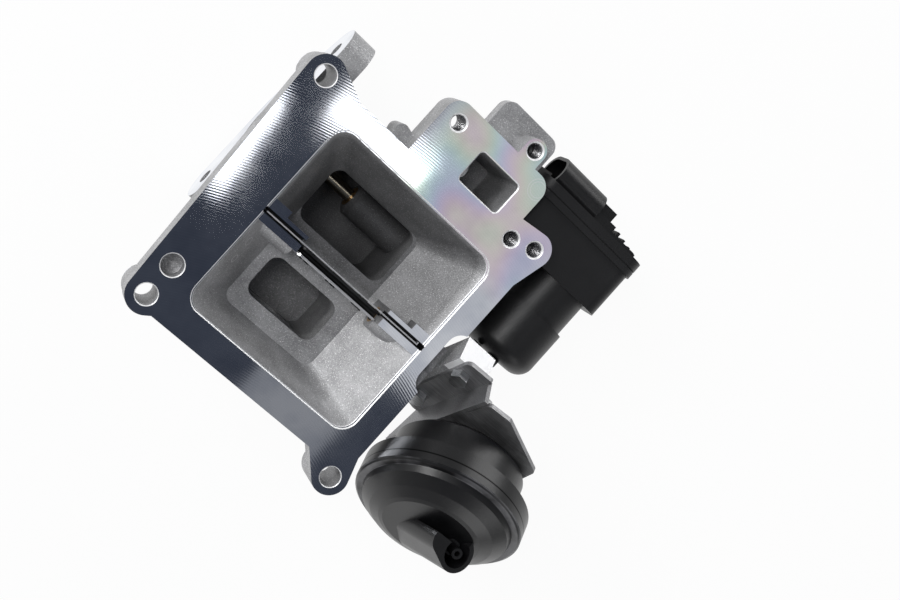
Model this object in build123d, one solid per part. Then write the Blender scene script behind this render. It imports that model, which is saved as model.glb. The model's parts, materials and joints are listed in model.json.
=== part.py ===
from build123d import *
from math import acos, atan2, cos, pi, radians, sin, sqrt, tan
import os

# Exhaust gas recirculation valve with a cooler bypass flap, in millimetres.
#
# The housing bolts to a gas cooler by its big machined flange. Everything is laid out from the
# centre of the gas chamber, on the flange face: +Z leaves the flange towards the cooler, +X runs
# along the divider towards the vacuum can, +Y points towards the electric drive. save() then moves
# each piece so that the origin is the mouth of the main dowel bore.

# ---------------------------------------------------------------- driving dimensions: cooler flange
FLANGE_T = 10.0              # thickness of the cooler flange
FLANGE_LEFT = -66.0          # straight edges of the flange plate
FLANGE_RIGHT = 56.3
FLANGE_LOW = -60.3
FLANGE_HIGH = 57.8
BOLT_A = (-62.5, 56.3)       # M8 clearance holes
BOLT_B = (-57.2, -54.9)
BOLT_C = (52.4, -64.4)
BOLT_R = 4.5
LOBE_R = 8.6                 # rounding of the flange round each bolt
BOSS_R = 8.2                 # cast sleeves behind the bolts
BOSS_DEPTH = 21.0
DOWEL = (-57.2, -39.6)       # main dowel bore, the datum of the part
DOWEL_R = 4.75
DOWEL_DEPTH = 7.0
TAPPED = [(-9.1, 79.7), (52.8, 63.6), (41.7, 60.2), (23.6, 93.6)]
TAP_R = 3.4                  # M8 core holes
TAP_DEPTH = 13.0
TAP_CHAMFER = 0.7
DRILL_POINT = 118.0          # angle of a drill's point, degrees
EDGE = 0.5                   # bevel of the machined edges
BORE_EDGE = 0.4              # bevel at the mouths of the plain bores
RELIEF_X = 51.4              # shallow relief in the flange's +X edge
RELIEF_Y = (-7.0, 11.0)

# window port beside the chamber
WINDOW_X = (6.5, 29.0)
WINDOW_Y = (63.0, 78.6)
WINDOW_DEPTH = 42.0
WINDOW_R = 2.0
PIPE_AT = (17.0, 71.0)       # coolant pipe in the pocket's floor
PIPE_SEAT_R = 4.6
PIPE_R = 4.0
PIPE_L = 16.0                # free length below its collar
PIPE_WALL = 1.0
EXT_X = (-17.4, 39.6)
EXT_HIGH = 88.2
EXT_T = 14.5
EXT_CORNER_R = 7.0
LUG_X = (5.0, 36.0)
LUG_HIGH = 105.0
LUG_TOP = -16.0
LUG_T = 7.0

# ---------------------------------------------------------------- gas chamber and passages
CHAMBER_X = 44.6             # half size of the chamber mouth
CHAMBER_Y = 47.3
CHAMBER_R = 7.5
FLOOR_Z = -25.0
FLOOR_X = (-28.0, 21.0)
FLOOR_Y = (-38.0, 35.0)
WALL = 5.5                   # cast wall
DIVIDER_Y = (-3.6, 4.4)
DIVIDER_TOP = -1.0
SLOT_Y = (0.2, 2.4)          # groove that takes the cooler's partition
SLOT_DEPTH = 5.0
GATE_X = 23.3                # half width of the bypass opening
PAD_Y = 7.4
VALVE_ROOM_X = (-28.0, 19.0)
VALVE_ROOM_Y = (8.0, 45.0)
VALVE_ROOM_Z = -62.0
RETURN_X = (-23.0, 14.0)
RETURN_Y = (-30.0, -9.5)
RETURN_Z = -59.0
ROOM_R = 5.0

# poppet valve, its stem lies along X
VALVE_Y = 29.5
VALVE_Z = -46.0
SEAT_FACE = -34.0            # x of the seat, on the exhaust side
SEAT_BORE_R = 10.5
SEAT_RING_R = 14.0
SEAT_RING_T = 5.0
POPPET_R = 12.5
STEM_R = 3.0
LIFT = 7.0
RUN = 0.04                   # radial running clearance of shafts
INLET_BORE_R = 14.6
SPIGOT_R = 16.0              # wider mouth that takes the pipe's spigot
SPIGOT_L = 8.0
INLET_FACE = -60.0           # x of the exhaust flange face
INLET_T = 12.0
INLET_HOLES = [(-5.9, -59.2), (69.9, -32.8)]    # (y, z)
OUTLET_FACE = -55.0          # y of the outlet flange face
OUTLET_X = -4.5
OUTLET_Z = -45.0
OUTLET_R = 12.0
OUTLET_T = 9.0
OUTLET_SPAN = 56.0
DUCT_END = -35.5             # inner end of the outlet's machined bore
CORE_STEP = 0.8              # the cast passage is wider than the bore by this
EAR_R = 11.0
GUIDE_END = -10.0
GUIDE_R = 8.0
GUIDE_BUSH_R = 5.0
ROOM_WALL_X = 25.0           # outside of the valve room's +X wall
DRIVE_PAD_X = 30.0           # machined pad that the drive case bolts to
SEAL_R = 7.0                 # stem seal

# bypass flap, its shaft lies along X
FLAP_Y = -1.7
FLAP_Z = -14.0
FLAP_HALF = 10.4             # half height of a leaf
FLAP_GAP = 2.2               # thickness of the shaft's flats
LEAF_T = 1.0
SHAFT_R = 3.0
BUSH_R = 4.0
FLAP_SWING = 60.0
SIDE_GAP = 0.4               # between the flap and the opening
BUSH_L = 10.0
BOSS_END = 72.0              # outer end of the shaft's boss
FLAP_BOSS_R = 7.0
SHAFT_X = (-33.0, 97.0)
SHAFT_ROOM = 0.6             # around the shaft between its bushes
RIVETS = (-15.0, 0.0, 15.0)
RIVET_R = 1.5
LEVER_AT = 87.5
LEVER_T = 3.0
LEVER_PIN_R = 2.5
PIN_TAIL_R = 1.6
NUT_R = 5.0
NUT_T = 4.0

# ---------------------------------------------------------------- vacuum can
CAN_X = 98.0
CAN_Y = -41.5
CAN_Z = 0.0
CAN_TILT = 38.0              # rise of the can's axis above the flange plane, degrees
COVER_R = 34.0
RIM_W = 3.8                  # the crimped rim stands out from the cover
CAN_RIM_R = COVER_R + RIM_W
CAN_NECK_R = 30.0
CAN_BACK = -22.0             # all along the can's axis, from the rim's seam
CAN_SHELL = 1.6
RIM_H = 7.2
COVER_H = 17.0
DIAPHRAGM_T = 0.8
DIAPHRAGM_FOLD = 7.4         # between the plate and the neck's wall
PLATE_R = CAN_NECK_R - CAN_SHELL - DIAPHRAGM_FOLD
PLATE_S = -17.5              # the plate at rest
PLATE_T = 1.2
SHEET_T = 2.0                # bracket sheet
FOOT_S = -35.0
ROD_R = 3.0
ROD_HOLE_R = 5.2             # in the can's back
EYE_HALF = 3.0               # half thickness of the rod's eye
NIPPLE_R = 2.4
NIPPLE_BORE_R = 1.2
NIPPLE_L = 8.0               # free length above its collar
NIPPLE_TIP = (107.5, -52.6, 25.5)
GUARD_LEAN = (0.2, 0.2, 0.96)
GUARD_R = 8.4                # outside of the C-shaped guard
GUARD_BORE_R = 6.3
GUARD_H = 34.0               # more than the guard's height over the cover's face
GUARD_MOUTH = (2.5, 3.5)     # the guard is open above this y and below this x

FOOT_SCREWS = [(-33.0, 1.0), (-34.0, 31.0)]      # (x, v) in the can's frame
CAN_STUDS = [(-14.0, 14.0), (14.0, -14.0)]
STUD_R = 2.5
SCREW_R = 2.1                # M5 core holes
SCREW_HEAD_R = 4.2
SCREW_HEAD_H = 3.6
SCREW_HOLE_R = 2.7           # clearance holes of the screws

# ---------------------------------------------------------------- electric drive, axes along Y
MODULE = 1.0
PINION_TEETH = 14            # on the output shaft, drives the stem's rack
PRESSURE = 20.0              # pressure angle, degrees
ADDENDUM = 0.85 * MODULE
DEDENDUM = 1.2 * MODULE
RACK_PITCH_Z = -49.0
OUTPUT_X = 51.0
OUTPUT_TEETH = 40
SMALL_TEETH = 11
BIG_TEETH = 26
MOTOR_TEETH = 9
MOTOR_X = 84.0
MOTOR_Z = -36.0
BOX_Y = 62.5                 # back of the gearbox
SEAM_Y = 88.5                # joint between gearbox and cover
COVER_T = 5.0
DRIVE_SCREWS = [(15.0, -37.0), (15.0, -61.0), (44.0, -37.0), (44.0, -61.0)]    # (y, z)
DRIVE_PAD_R = 6.0
BOX_WALL = 2.5
MOTOR_CAP_Y = 46.0
MOTOR_END_Y = 19.0
BARREL_R = 17.5
MOTOR_CAP_R = 19.0
CAN_MOTOR_R = 14.0
MOTOR_BACK = MOTOR_END_Y + 5.0
MOTOR_FRONT = BOX_Y + 1.5
MOTOR_SHELL = 1.2
MOTOR_BUSH_R = 3.5
CORE_R = 10.0
ROTOR_R = 1.5
BACKLASH = 0.10
OUT_SHAFT_R = 3.0
OUT_BUSH_R = 5.0
INTER_PIN_R = 2.0
DRIVE_EAR_R = 14.0           # from the output shaft to the gearbox screws
LIP = 1.2                    # rim of gearbox and cover at their seam
CASE_Y = (21.5, 38.0)        # drive case round the rack
CASE_FOOT = 4.0
RACK_HALF = 4.0              # half width of the rack and the pinion
SPRING_X = (DRIVE_PAD_X + 1.0, 42.0)
RACK_X = SPRING_X[1] + 2.0
RACK_END = 60.5
GASKET_T = 0.6
COVER_SKIN = 1.8
BOARD_T = 1.6
CONN_Y = 98.0                # wiring socket on the cover, open towards -X
CONN_W = (25.0, 33.0)        # -z of the two centres of its oval
CONN_X = (46.0, 71.0)
CONN_R = 7.0
CONN_WALL = 1.6
CONN_DEPTH = 16.0
TERMINALS = 5

PINION_R = MODULE * PINION_TEETH / 2
OUTPUT_R = MODULE * OUTPUT_TEETH / 2
SMALL_R = MODULE * SMALL_TEETH / 2
BIG_R = MODULE * BIG_TEETH / 2
MOTOR_PINION_R = MODULE * MOTOR_TEETH / 2
OUTPUT_Z = RACK_PITCH_Z - PINION_R

parts = {}


# ---------------------------------------------------------------- helpers
def bar(r, length):
    """Round bar along Z from the origin."""
    return Cylinder(r, length, align=(Align.CENTER, Align.CENTER, Align.MIN))


def cyl_x(r, x0, x1, y, z):
    """Round bar along X."""
    return Pos(x0, y, z) * Rot(0, 90, 0) * bar(r, x1 - x0)


def cyl_y(r, y0, y1, x, z):
    """Round bar along Y."""
    return Pos(x, y0, z) * Rot(-90, 0, 0) * bar(r, y1 - y0)


def cyl_z(r, z0, z1, x, y):
    """Round bar along Z."""
    return Pos(x, y, z0) * bar(r, z1 - z0)


def bevel_z(r, edge, x, y):
    """Cone that bevels the mouth of a bore in the flange face."""
    return Pos(x, y, -edge / 2) * Cone(r, r + edge, edge)


def block(x, y, z):
    """Box between the two ends given for each axis."""
    size = (x[1] - x[0], y[1] - y[0], z[1] - z[0])
    return Pos((x[0] + x[1]) / 2, (y[0] + y[1]) / 2, (z[0] + z[1]) / 2) * Box(*size)


def rounded(x, y, r):
    """Flat rectangle between the two ends given for each axis, with round corners."""
    return Pos((x[0] + x[1]) / 2, (y[0] + y[1]) / 2) * RectangleRounded(x[1] - x[0], y[1] - y[0], r)


def column(x, y, z, r):
    """Upright block with round corners."""
    return extrude(Plane.XY.offset(z[0]) * rounded(x, y, r), z[1] - z[0])


def hull(*circles):
    """Flat outline drawn tight round circles, each given as (x, y, r)."""
    edges = ShapeList()
    for x, y, r in circles:
        edges += (Pos(x, y) * Circle(r)).edges()
    return make_hull(edges)


def funnel(z0, x0, y0, r0, z1, x1, y1, r1):
    """Block that tapers between two round-cornered rectangles."""
    top = Plane.XY.offset(z0) * rounded(x0, y0, r0)
    bottom = Plane.XY.offset(z1) * rounded(x1, y1, r1)
    return loft([top.face(), bottom.face()])


def save(name, shape):
    """Keep a piece, moved so that the origin is the mouth of the main dowel bore."""
    parts[name] = Pos(-DOWEL[0], -DOWEL[1], 0) * shape


# planes that look along each axis, with the flat X and Y in each comment
def plane_x(x):
    """Flat X is Y and flat Y is Z."""
    return Plane(origin=(x, 0, 0), x_dir=(0, 1, 0), z_dir=(1, 0, 0))


def plane_y(y):
    """Flat X is X and flat Y is -Z; it is extruded towards +Y."""
    return Plane(origin=(0, y, 0), x_dir=(1, 0, 0), z_dir=(0, 1, 0))


# the can's own frame: x as the part's X, v across it and s along the can's axis, out of its cover
CAN_DIR = (0, -cos(radians(CAN_TILT)), sin(radians(CAN_TILT)))
CAN_V = (0, CAN_DIR[2], -CAN_DIR[1])
CAN = Plane(origin=(CAN_X, CAN_Y, CAN_Z), x_dir=(1, 0, 0), z_dir=CAN_DIR)


def can_side(x):
    """Plane across the part's X in the can's frame: flat X is v and flat Y is s."""
    return Plane(origin=CAN.from_local_coords(Vector(x, 0, 0)), x_dir=CAN_V, z_dir=(1, 0, 0))


# ---------------------------------------------------------------- cast housing
def flange_outline():
    """Outline of the cooler flange without its window extension."""
    plate = rounded((FLANGE_LEFT + 2, FLANGE_RIGHT), (FLANGE_LOW, FLANGE_HIGH), 3)
    plate += hull((*BOLT_A, LOBE_R), (*BOLT_B, LOBE_R), (0, 0, 20))
    plate += hull((*BOLT_A, LOBE_R), (BOLT_A[0] + 18, BOLT_A[1] - 14, 14))
    plate += hull((*BOLT_C, LOBE_R - 0.5), (BOLT_C[0] - 9, BOLT_C[1] + 14, 12))
    plate += hull((*TAPPED[1], LOBE_R - 0.8), (TAPPED[1][0] - 13, TAPPED[1][1] - 6, 12), (40, 40, 14))
    relief = FLANGE_RIGHT + 2
    plate -= hull((relief, RELIEF_Y[0], relief - RELIEF_X), (relief, RELIEF_Y[1], relief - RELIEF_X))
    return plate


def extension_outline():
    """Outline of the thicker pad round the window port and its tapped holes."""
    pad = rounded(EXT_X, (FLANGE_HIGH - 14, EXT_HIGH), EXT_CORNER_R)
    pad += hull((*TAPPED[3], 5.2), (TAPPED[3][0], EXT_HIGH - 6, 5.2))
    return pad


def blind_hole(x, y, r, depth):
    """Drilled hole from the flange face, with the drill's pointed end."""
    tip = r / tan(radians(DRILL_POINT / 2))
    point = Pos(x, y, -depth - tip / 2) * Cone(0, r, tip)
    return cyl_z(r, -depth, 1, x, y) + point


def make_housing():
    """The die-cast housing with its flanges, passages, bosses and machined bores."""
    body = extrude(flange_outline(), -FLANGE_T) + extrude(extension_outline(), -EXT_T)

    # chamber shell, valve room and return passage below the flange
    outer_x = (FLOOR_X[0] - WALL, FLOOR_X[1] + WALL)
    outer_y = (FLOOR_Y[0] - WALL, FLOOR_Y[1] + WALL)
    mouth_x = (-CHAMBER_X - WALL + 2, CHAMBER_X + WALL - 2)
    mouth_y = (-CHAMBER_Y - WALL + 2, CHAMBER_Y + WALL - 2)
    body += funnel(-FLANGE_T + 1, mouth_x, mouth_y, CHAMBER_R + WALL, FLOOR_Z - WALL, outer_x, outer_y, 9)
    room_x = (VALVE_ROOM_X[0] - 6, ROOM_WALL_X)
    body += column(room_x, (2, VALVE_ROOM_Y[1] + WALL), (VALVE_ROOM_Z - WALL, FLOOR_Z), 9)
    return_x = (RETURN_X[0] - WALL, RETURN_X[1] + WALL)
    body += column(return_x, (RETURN_Y[0] - WALL, 8), (RETURN_Z - WALL, FLOOR_Z), 9)

    # exhaust inlet: round duct and a two-bolt flange that faces -X
    ears = [(y, z, EAR_R) for y, z in INLET_HOLES]
    inlet = hull(*ears, (VALVE_Y + 2, VALVE_Z, 22))
    body += extrude(plane_x(INLET_FACE) * inlet, INLET_T)
    body += cyl_x(INLET_BORE_R + WALL, INLET_FACE + 2, VALVE_ROOM_X[0] - 2, VALVE_Y, VALVE_Z)

    # gas outlet: round duct and a two-bolt flange that faces -Y
    body += cyl_y(OUTLET_R + WALL, OUTLET_FACE + 2, RETURN_Y[0], OUTLET_X, OUTLET_Z)
    ears = [(x, -OUTLET_Z, 9) for x in (OUTLET_X - OUTLET_SPAN / 2, OUTLET_X + OUTLET_SPAN / 2)]
    outlet = hull(*ears, (OUTLET_X, -OUTLET_Z, OUTLET_R + 7))
    body += extrude(plane_y(OUTLET_FACE) * outlet, OUTLET_T)

    # sleeves behind the bolts and tapped holes
    for x, y in (BOLT_A, BOLT_B, BOLT_C):
        body += cyl_z(BOSS_R, -BOSS_DEPTH, -1, x, y)
    for x, y in TAPPED[1:3]:
        body += cyl_z(6.6, -TAP_DEPTH - 4, -1, x, y)
    body += cyl_z(LOBE_R, -DOWEL_DEPTH - 5, -1, *DOWEL)
    body += cyl_z(5.2, LUG_TOP - 1, -EXT_T + 1, *TAPPED[3])
    lug = rounded(LUG_X, (EXT_HIGH - 12, LUG_HIGH), 5)
    body += extrude(Plane.XY.offset(LUG_TOP) * lug, -LUG_T)
    body += block((LUG_X[0] + 2, LUG_X[1] - 2), (EXT_HIGH - 11, EXT_HIGH - 5), (LUG_TOP - 1, -EXT_T + 1))
    body += cast_stub()

    # coolant pocket under the window port
    pocket_x = (WINDOW_X[0] - 4, WINDOW_X[1] + 3)
    pocket_y = (WINDOW_Y[0] - WALL, WINDOW_Y[1] + WALL)
    body += column(pocket_x, pocket_y, (-WINDOW_DEPTH - WALL, -EXT_T + 1), 5)

    # boss of the flap shaft, with the tilted pad that the can's bracket bolts to
    body += cyl_x(FLAP_BOSS_R, CHAMBER_X - 3, BOSS_END, FLAP_Y, FLAP_Z)
    body += block((CHAMBER_X - 6, 66), (-12, 8), (-24, -8))
    pad = CAN * Pos(-34, 15, FOOT_S - 6) * Box(18, 44, 12)
    body += pad & block((FLANGE_RIGHT + 0.8, CAN_X), (-80, 80), (-80, 80))
    body -= CAN * Pos(-28, 10, FOOT_S + 10) * Box(25, 90, 20)

    # pad that the drive case bolts to
    drive = hull(*[(y, z, DRIVE_PAD_R) for y, z in DRIVE_SCREWS])
    body += extrude(plane_x(ROOM_WALL_X - 1) * drive, DRIVE_PAD_X - ROOM_WALL_X + 1)

    body -= gas_spaces()
    body += guide_boss()
    body -= machined_bores()
    return body


def cast_stub():
    """Short cast lug beside the chamber, under the flange."""
    return extrude(Plane.XY.offset(-9) * hull((-22, 62, 3.2), (-14, 60, 3.2), (-18, 52, 5)), -12)


def divider():
    """Wall between the two halves of the chamber, open where the flap stands."""
    wall = block((-60, -GATE_X), DIVIDER_Y, (FLOOR_Z - 1, DIVIDER_TOP))
    wall += block((GATE_X, 60), DIVIDER_Y, (FLOOR_Z - 1, DIVIDER_TOP))
    wall += block((-60, -GATE_X - 12), (DIVIDER_Y[1], PAD_Y), (FLOOR_Z - 1, DIVIDER_TOP))
    wall += block((GATE_X + 12.5, 60), (DIVIDER_Y[1], PAD_Y), (FLOOR_Z - 1, DIVIDER_TOP))
    wall += cyl_x(6.2, -60, -GATE_X, FLAP_Y, FLAP_Z) + cyl_x(6.2, GATE_X, 60, FLAP_Y, FLAP_Z)
    return wall


def bevelled_mouth(x, y, r):
    """Bevel round the rim of a rectangular mouth in the flange face."""
    wide_x = (x[0] - EDGE, x[1] + EDGE)
    wide_y = (y[0] - EDGE, y[1] + EDGE)
    return funnel(0, wide_x, wide_y, r + EDGE, -EDGE, x, y, r)


def gas_spaces():
    """Everything that the gas and the coolant fill."""
    rim_x, rim_y = (-CHAMBER_X, CHAMBER_X), (-CHAMBER_Y, CHAMBER_Y)
    mouth = funnel(0, rim_x, rim_y, CHAMBER_R, FLOOR_Z, FLOOR_X, FLOOR_Y, ROOM_R)
    mouth += column(rim_x, rim_y, (0, 1), CHAMBER_R)
    mouth += bevelled_mouth(rim_x, rim_y, CHAMBER_R)
    mouth -= divider()
    room = column(VALVE_ROOM_X, VALVE_ROOM_Y, (VALVE_ROOM_Z, FLOOR_Z - 4), ROOM_R)
    room += column(VALVE_ROOM_X, (VALVE_ROOM_Y[0], FLOOR_Y[1]), (FLOOR_Z - 6, FLOOR_Z + 1), ROOM_R)
    back = column(RETURN_X, RETURN_Y, (RETURN_Z, FLOOR_Z + 1), ROOM_R)
    back += cyl_y(OUTLET_R, OUTLET_FACE - 1, DUCT_END, OUTLET_X, OUTLET_Z)
    back += cyl_y(OUTLET_R + CORE_STEP, DUCT_END, RETURN_Y[1] - 4, OUTLET_X, OUTLET_Z)
    window = column(WINDOW_X, WINDOW_Y, (-WINDOW_DEPTH, 1), WINDOW_R)
    window += bevelled_mouth(WINDOW_X, WINDOW_Y, WINDOW_R)
    window += cyl_z(PIPE_SEAT_R, -WINDOW_DEPTH - WALL - 1, -WINDOW_DEPTH + 1, *PIPE_AT)
    inlet = cyl_x(INLET_BORE_R, INLET_FACE - 1, SEAT_FACE, VALVE_Y, VALVE_Z)
    inlet += cyl_x(SPIGOT_R, INLET_FACE - 1, INLET_FACE + SPIGOT_L, VALVE_Y, VALVE_Z)
    inlet += cyl_x(SEAT_RING_R, SEAT_FACE - 1, SEAT_FACE + SEAT_RING_T, VALVE_Y, VALVE_Z)
    inlet += cyl_x(SEAT_BORE_R + 1, SEAT_FACE, VALVE_ROOM_X[0] + 1, VALVE_Y, VALVE_Z)
    return mouth + room + back + window + inlet


def guide_boss():
    """Round nose that carries the stem's guide bush into the valve room."""
    nose = cyl_x(GUIDE_R, GUIDE_END + 2, ROOM_WALL_X, VALVE_Y, VALVE_Z)
    taper = Pos(GUIDE_END + 1, VALVE_Y, VALVE_Z) * Rot(0, 90, 0) * Cone(GUIDE_R - 2, GUIDE_R, 2)
    return nose + taper


def machined_bores():
    """Bolt holes, tapped holes, bush seats and grooves."""
    cut = blind_hole(*DOWEL, DOWEL_R, DOWEL_DEPTH) + bevel_z(DOWEL_R, BORE_EDGE, *DOWEL)
    for x, y in (BOLT_A, BOLT_B, BOLT_C):
        cut += cyl_z(BOLT_R, -BOSS_DEPTH - 1, 1, x, y) + bevel_z(BOLT_R, BORE_EDGE, x, y)
    for index, (x, y) in enumerate(TAPPED):
        if index == 0:
            cut += cyl_z(TAP_R, -EXT_T - 1, 1, x, y)
        else:
            cut += blind_hole(x, y, TAP_R, TAP_DEPTH)
        cut += bevel_z(TAP_R, TAP_CHAMFER, x, y)
    for y, z in INLET_HOLES:
        cut += cyl_x(TAP_R, INLET_FACE - 1, INLET_FACE + INLET_T + 1, y, z)
    for x in (OUTLET_X - OUTLET_SPAN / 2, OUTLET_X + OUTLET_SPAN / 2):
        cut += cyl_y(TAP_R, OUTLET_FACE - 1, OUTLET_FACE + OUTLET_T + 1, x, OUTLET_Z)
    cut += block((-CHAMBER_X - EDGE, CHAMBER_X + EDGE), SLOT_Y, (DIVIDER_TOP - SLOT_DEPTH, 1))
    # stem guide and seal
    cut += cyl_x(GUIDE_BUSH_R, GUIDE_END - 1, ROOM_WALL_X - 2, VALVE_Y, VALVE_Z)
    cut += cyl_x(STEM_R + SHAFT_ROOM, GUIDE_END, DRIVE_PAD_X + 1, VALVE_Y, VALVE_Z)
    cut += cyl_x(SEAL_R, ROOM_WALL_X + 1, DRIVE_PAD_X + 1, VALVE_Y, VALVE_Z)
    for y, z in DRIVE_SCREWS:
        cut += cyl_x(SCREW_R, DRIVE_PAD_X - 9, DRIVE_PAD_X + 1, y, z)
    # flap shaft
    cut += cyl_x(BUSH_R, SHAFT_X[0] - 1, -GATE_X, FLAP_Y, FLAP_Z)
    cut += cyl_x(BUSH_R, GATE_X, GATE_X + BUSH_L, FLAP_Y, FLAP_Z)
    cut += cyl_x(SHAFT_R + SHAFT_ROOM, GATE_X, BOSS_END + 1, FLAP_Y, FLAP_Z)
    cut += cyl_x(BUSH_R, BOSS_END - BUSH_L, BOSS_END + 1, FLAP_Y, FLAP_Z)
    for x, v in FOOT_SCREWS:
        cut += CAN * Pos(x, v, FOOT_S - 9.9) * bar(SCREW_R, 10)
    return cut


# The casting is one piece of metal. It is kept as blocks that meet face to face, each with its own
# bores, so that the gas and coolant spaces and every hole stay open in each block's collision.
FAR = 120.0
BOLT_BLOCKS = [
    block((-FAR, -50.5), (44, FAR), (-21.8, FAR)),
    block((-FAR, -48.7), (-FAR, -46.6), (-21.8, FAR)),
    block((43.5, FAR), (-FAR, -55.5), (-21.8, FAR)),
]
DOWEL_BLOCK = [block((-FAR, -48.7), (-46.6, -30.4), (-21.8, FAR))]
TAPPED_BLOCKS = [
    block((-FAR, 0), (66, FAR), (-21.8, FAR)),
    block((36.2, 80), (51.5, EXT_HIGH + 0.3), (-21.8, FAR)),
    block((0, 80), (EXT_HIGH + 0.3, FAR), (-FAR, FAR)),
]
WINDOW_BLOCK = [block((0, 36.2), (57, EXT_HIGH + 0.3), (-FAR, FAR))]
INLET_BLOCK = [block((-FAR, INLET_FACE + INLET_T), (-FAR, FAR), (-FAR, -21.8))]
ROOM_BLOCK = [
    block((INLET_FACE + INLET_T, VALVE_ROOM_X[0] - 6), (2, 57), (-FAR, -24)),
    block((VALVE_ROOM_X[0] - 6, 36.2), (2, 57), (-FAR, FLOOR_Z - WALL)),
]
OUTLET_BLOCK = [
    block((-48, 40), (-FAR, FLOOR_Y[0] - WALL - 0.1), (-FAR, -25.5)),
    block((-48, 40), (FLOOR_Y[0] - WALL - 0.1, DUCT_END), (-FAR, FLOOR_Z - WALL)),
]
RETURN_BLOCK = [block((-48, 40), (DUCT_END, 2), (-FAR, FLOOR_Z - WALL))]
BLOCKS = {
    "bolt_lobes": BOLT_BLOCKS,
    "dowel_boss": DOWEL_BLOCK,
    "tapped_bosses": TAPPED_BLOCKS,
    "window_pocket": WINDOW_BLOCK,
    "inlet_flange": INLET_BLOCK,
    "valve_room": ROOM_BLOCK,
    "outlet_duct": OUTLET_BLOCK,
    "return_passage": RETURN_BLOCK,
}


def split_housing(casting):
    """The casting's blocks by name; what no block takes is the gas chamber with its flange."""
    found = {}
    for name, boxes in BLOCKS.items():
        zone = boxes[0]
        for box in boxes[1:]:
            zone += box
        found[name] = casting & zone
        casting -= zone
    found["valve_housing"] = casting
    return found


def make_divider_strip():
    """Thin sheet strip in the divider's groove, with a small hook at one end."""
    y = (0.8, 1.4)
    top = DIVIDER_TOP + 0.6
    foot = DIVIDER_TOP - SLOT_DEPTH
    strip = block((1.1 - CHAMBER_X, CHAMBER_X - 2.6), y, (top - 2.2, top))
    strip += block((1.1 - CHAMBER_X, -GATE_X - 1.2), y, (foot, top))
    strip += block((GATE_X + 1.2, CHAMBER_X - 2.6), y, (foot, top))
    return strip + block((CHAMBER_X - 3.2, CHAMBER_X - 2.6), (y[0], SLOT_Y[1] - 0.2), (top - 2.2, top))


def ring_x(r_in, r_out, x0, x1, y, z):
    """Plain ring about X."""
    return cyl_x(r_out, x0, x1, y, z) - cyl_x(r_in, x0 - 1, x1 + 1, y, z)


def ring_y(r_in, r_out, y0, y1, x, z):
    """Plain ring about Y."""
    return cyl_y(r_out, y0, y1, x, z) - cyl_y(r_in, y0 - 1, y1 + 1, x, z)


def coil(r, wire, length, turns):
    """Compression spring along Z from the origin, with round wire."""
    path = Helix(pitch=(length - wire) / turns, height=length - wire, radius=r)
    section = Plane(origin=path @ 0, z_dir=path % 0) * RegularPolygon(wire / 2, 8)
    return Pos(0, 0, wire / 2) * sweep(section, path)


# ---------------------------------------------------------------- poppet valve
def make_seat_ring():
    """Seat ring pressed into the wall between the inlet and the valve room."""
    return ring_x(SEAT_BORE_R, SEAT_RING_R, SEAT_FACE, SEAT_FACE + SEAT_RING_T, VALVE_Y, VALVE_Z)


def make_poppet():
    """Valve head and stem in one piece; the head closes against the seat from the exhaust side."""
    back = SEAT_FACE - 0.05
    head = cyl_x(POPPET_R, back - 3, back, VALVE_Y, VALVE_Z)
    head += Pos(back + 2, VALVE_Y, VALVE_Z) * Rot(0, 90, 0) * Cone(8, STEM_R, 4)
    head += Pos(back - 4, VALVE_Y, VALVE_Z) * Rot(0, 90, 0) * Cone(POPPET_R - 3, POPPET_R, 2)
    return head + cyl_x(STEM_R, back, RACK_X + 2, VALVE_Y, VALVE_Z)


def rack_tooth(x):
    """One straight-sided tooth under the rack, centred on x."""
    top = RACK_PITCH_Z + DEDENDUM
    tip = RACK_PITCH_Z - ADDENDUM
    half = MODULE * pi / 4 - BACKLASH / 2
    slope = tan(radians(PRESSURE))
    wide = half + DEDENDUM * slope
    narrow = half - ADDENDUM * slope
    flanks = [(x - wide, top), (x - narrow, tip), (x + narrow, tip), (x + wide, top)]
    root = [(x + wide, top + 0.2), (x - wide, top + 0.2)]
    face = Plane.XZ.offset(-VALVE_Y - RACK_HALF) * make_face(Polyline(*flanks, *root, close=True))
    return extrude(face, 2 * RACK_HALF)


def make_stem_rack():
    """Toothed bar on the outer end of the stem."""
    y = (VALVE_Y - RACK_HALF, VALVE_Y + RACK_HALF)
    rack = block((RACK_X, RACK_END), y, (RACK_PITCH_Z + DEDENDUM, VALVE_Z + STEM_R + 0.2))
    rack += cyl_x(STEM_R + 1, RACK_X, RACK_X + 2.4, VALVE_Y, VALVE_Z)
    pitch = MODULE * pi
    count = int((RACK_END - OUTPUT_X) / pitch + 0.5)
    for k in range(count):
        rack += rack_tooth(OUTPUT_X + (k - 0.5) * pitch)
    return rack - cyl_x(STEM_R, RACK_X - 1, RACK_X + 2, VALVE_Y, VALVE_Z)


# ---------------------------------------------------------------- bypass flap
def make_leaf(side):
    """One stamped leaf of the flap, on the side given as -1 or 1."""
    near = FLAP_Y + side * FLAP_GAP / 2
    face = Pos(0, -FLAP_Z) * RectangleRounded(2 * (GATE_X - SIDE_GAP), 2 * FLAP_HALF, 3.5)
    leaf = extrude(plane_y(near) * face, side * LEAF_T)
    for x in RIVETS:
        leaf -= cyl_y(RIVET_R, near - 2, near + 2, x, FLAP_Z)
    return leaf


def make_rivets():
    """Rivets through both leaves and the shaft."""
    half = FLAP_GAP / 2 + LEAF_T
    rivets = []
    for x in RIVETS:
        rivet = cyl_y(RIVET_R, FLAP_Y - half, FLAP_Y + half, x, FLAP_Z)
        rivet += cyl_y(RIVET_R + 1.1, FLAP_Y - half - 0.7, FLAP_Y - half, x, FLAP_Z)
        rivet += cyl_y(RIVET_R + 1.1, FLAP_Y + half, FLAP_Y + half + 0.4, x, FLAP_Z)
        rivets.append(rivet)
    return Compound(rivets)


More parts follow.
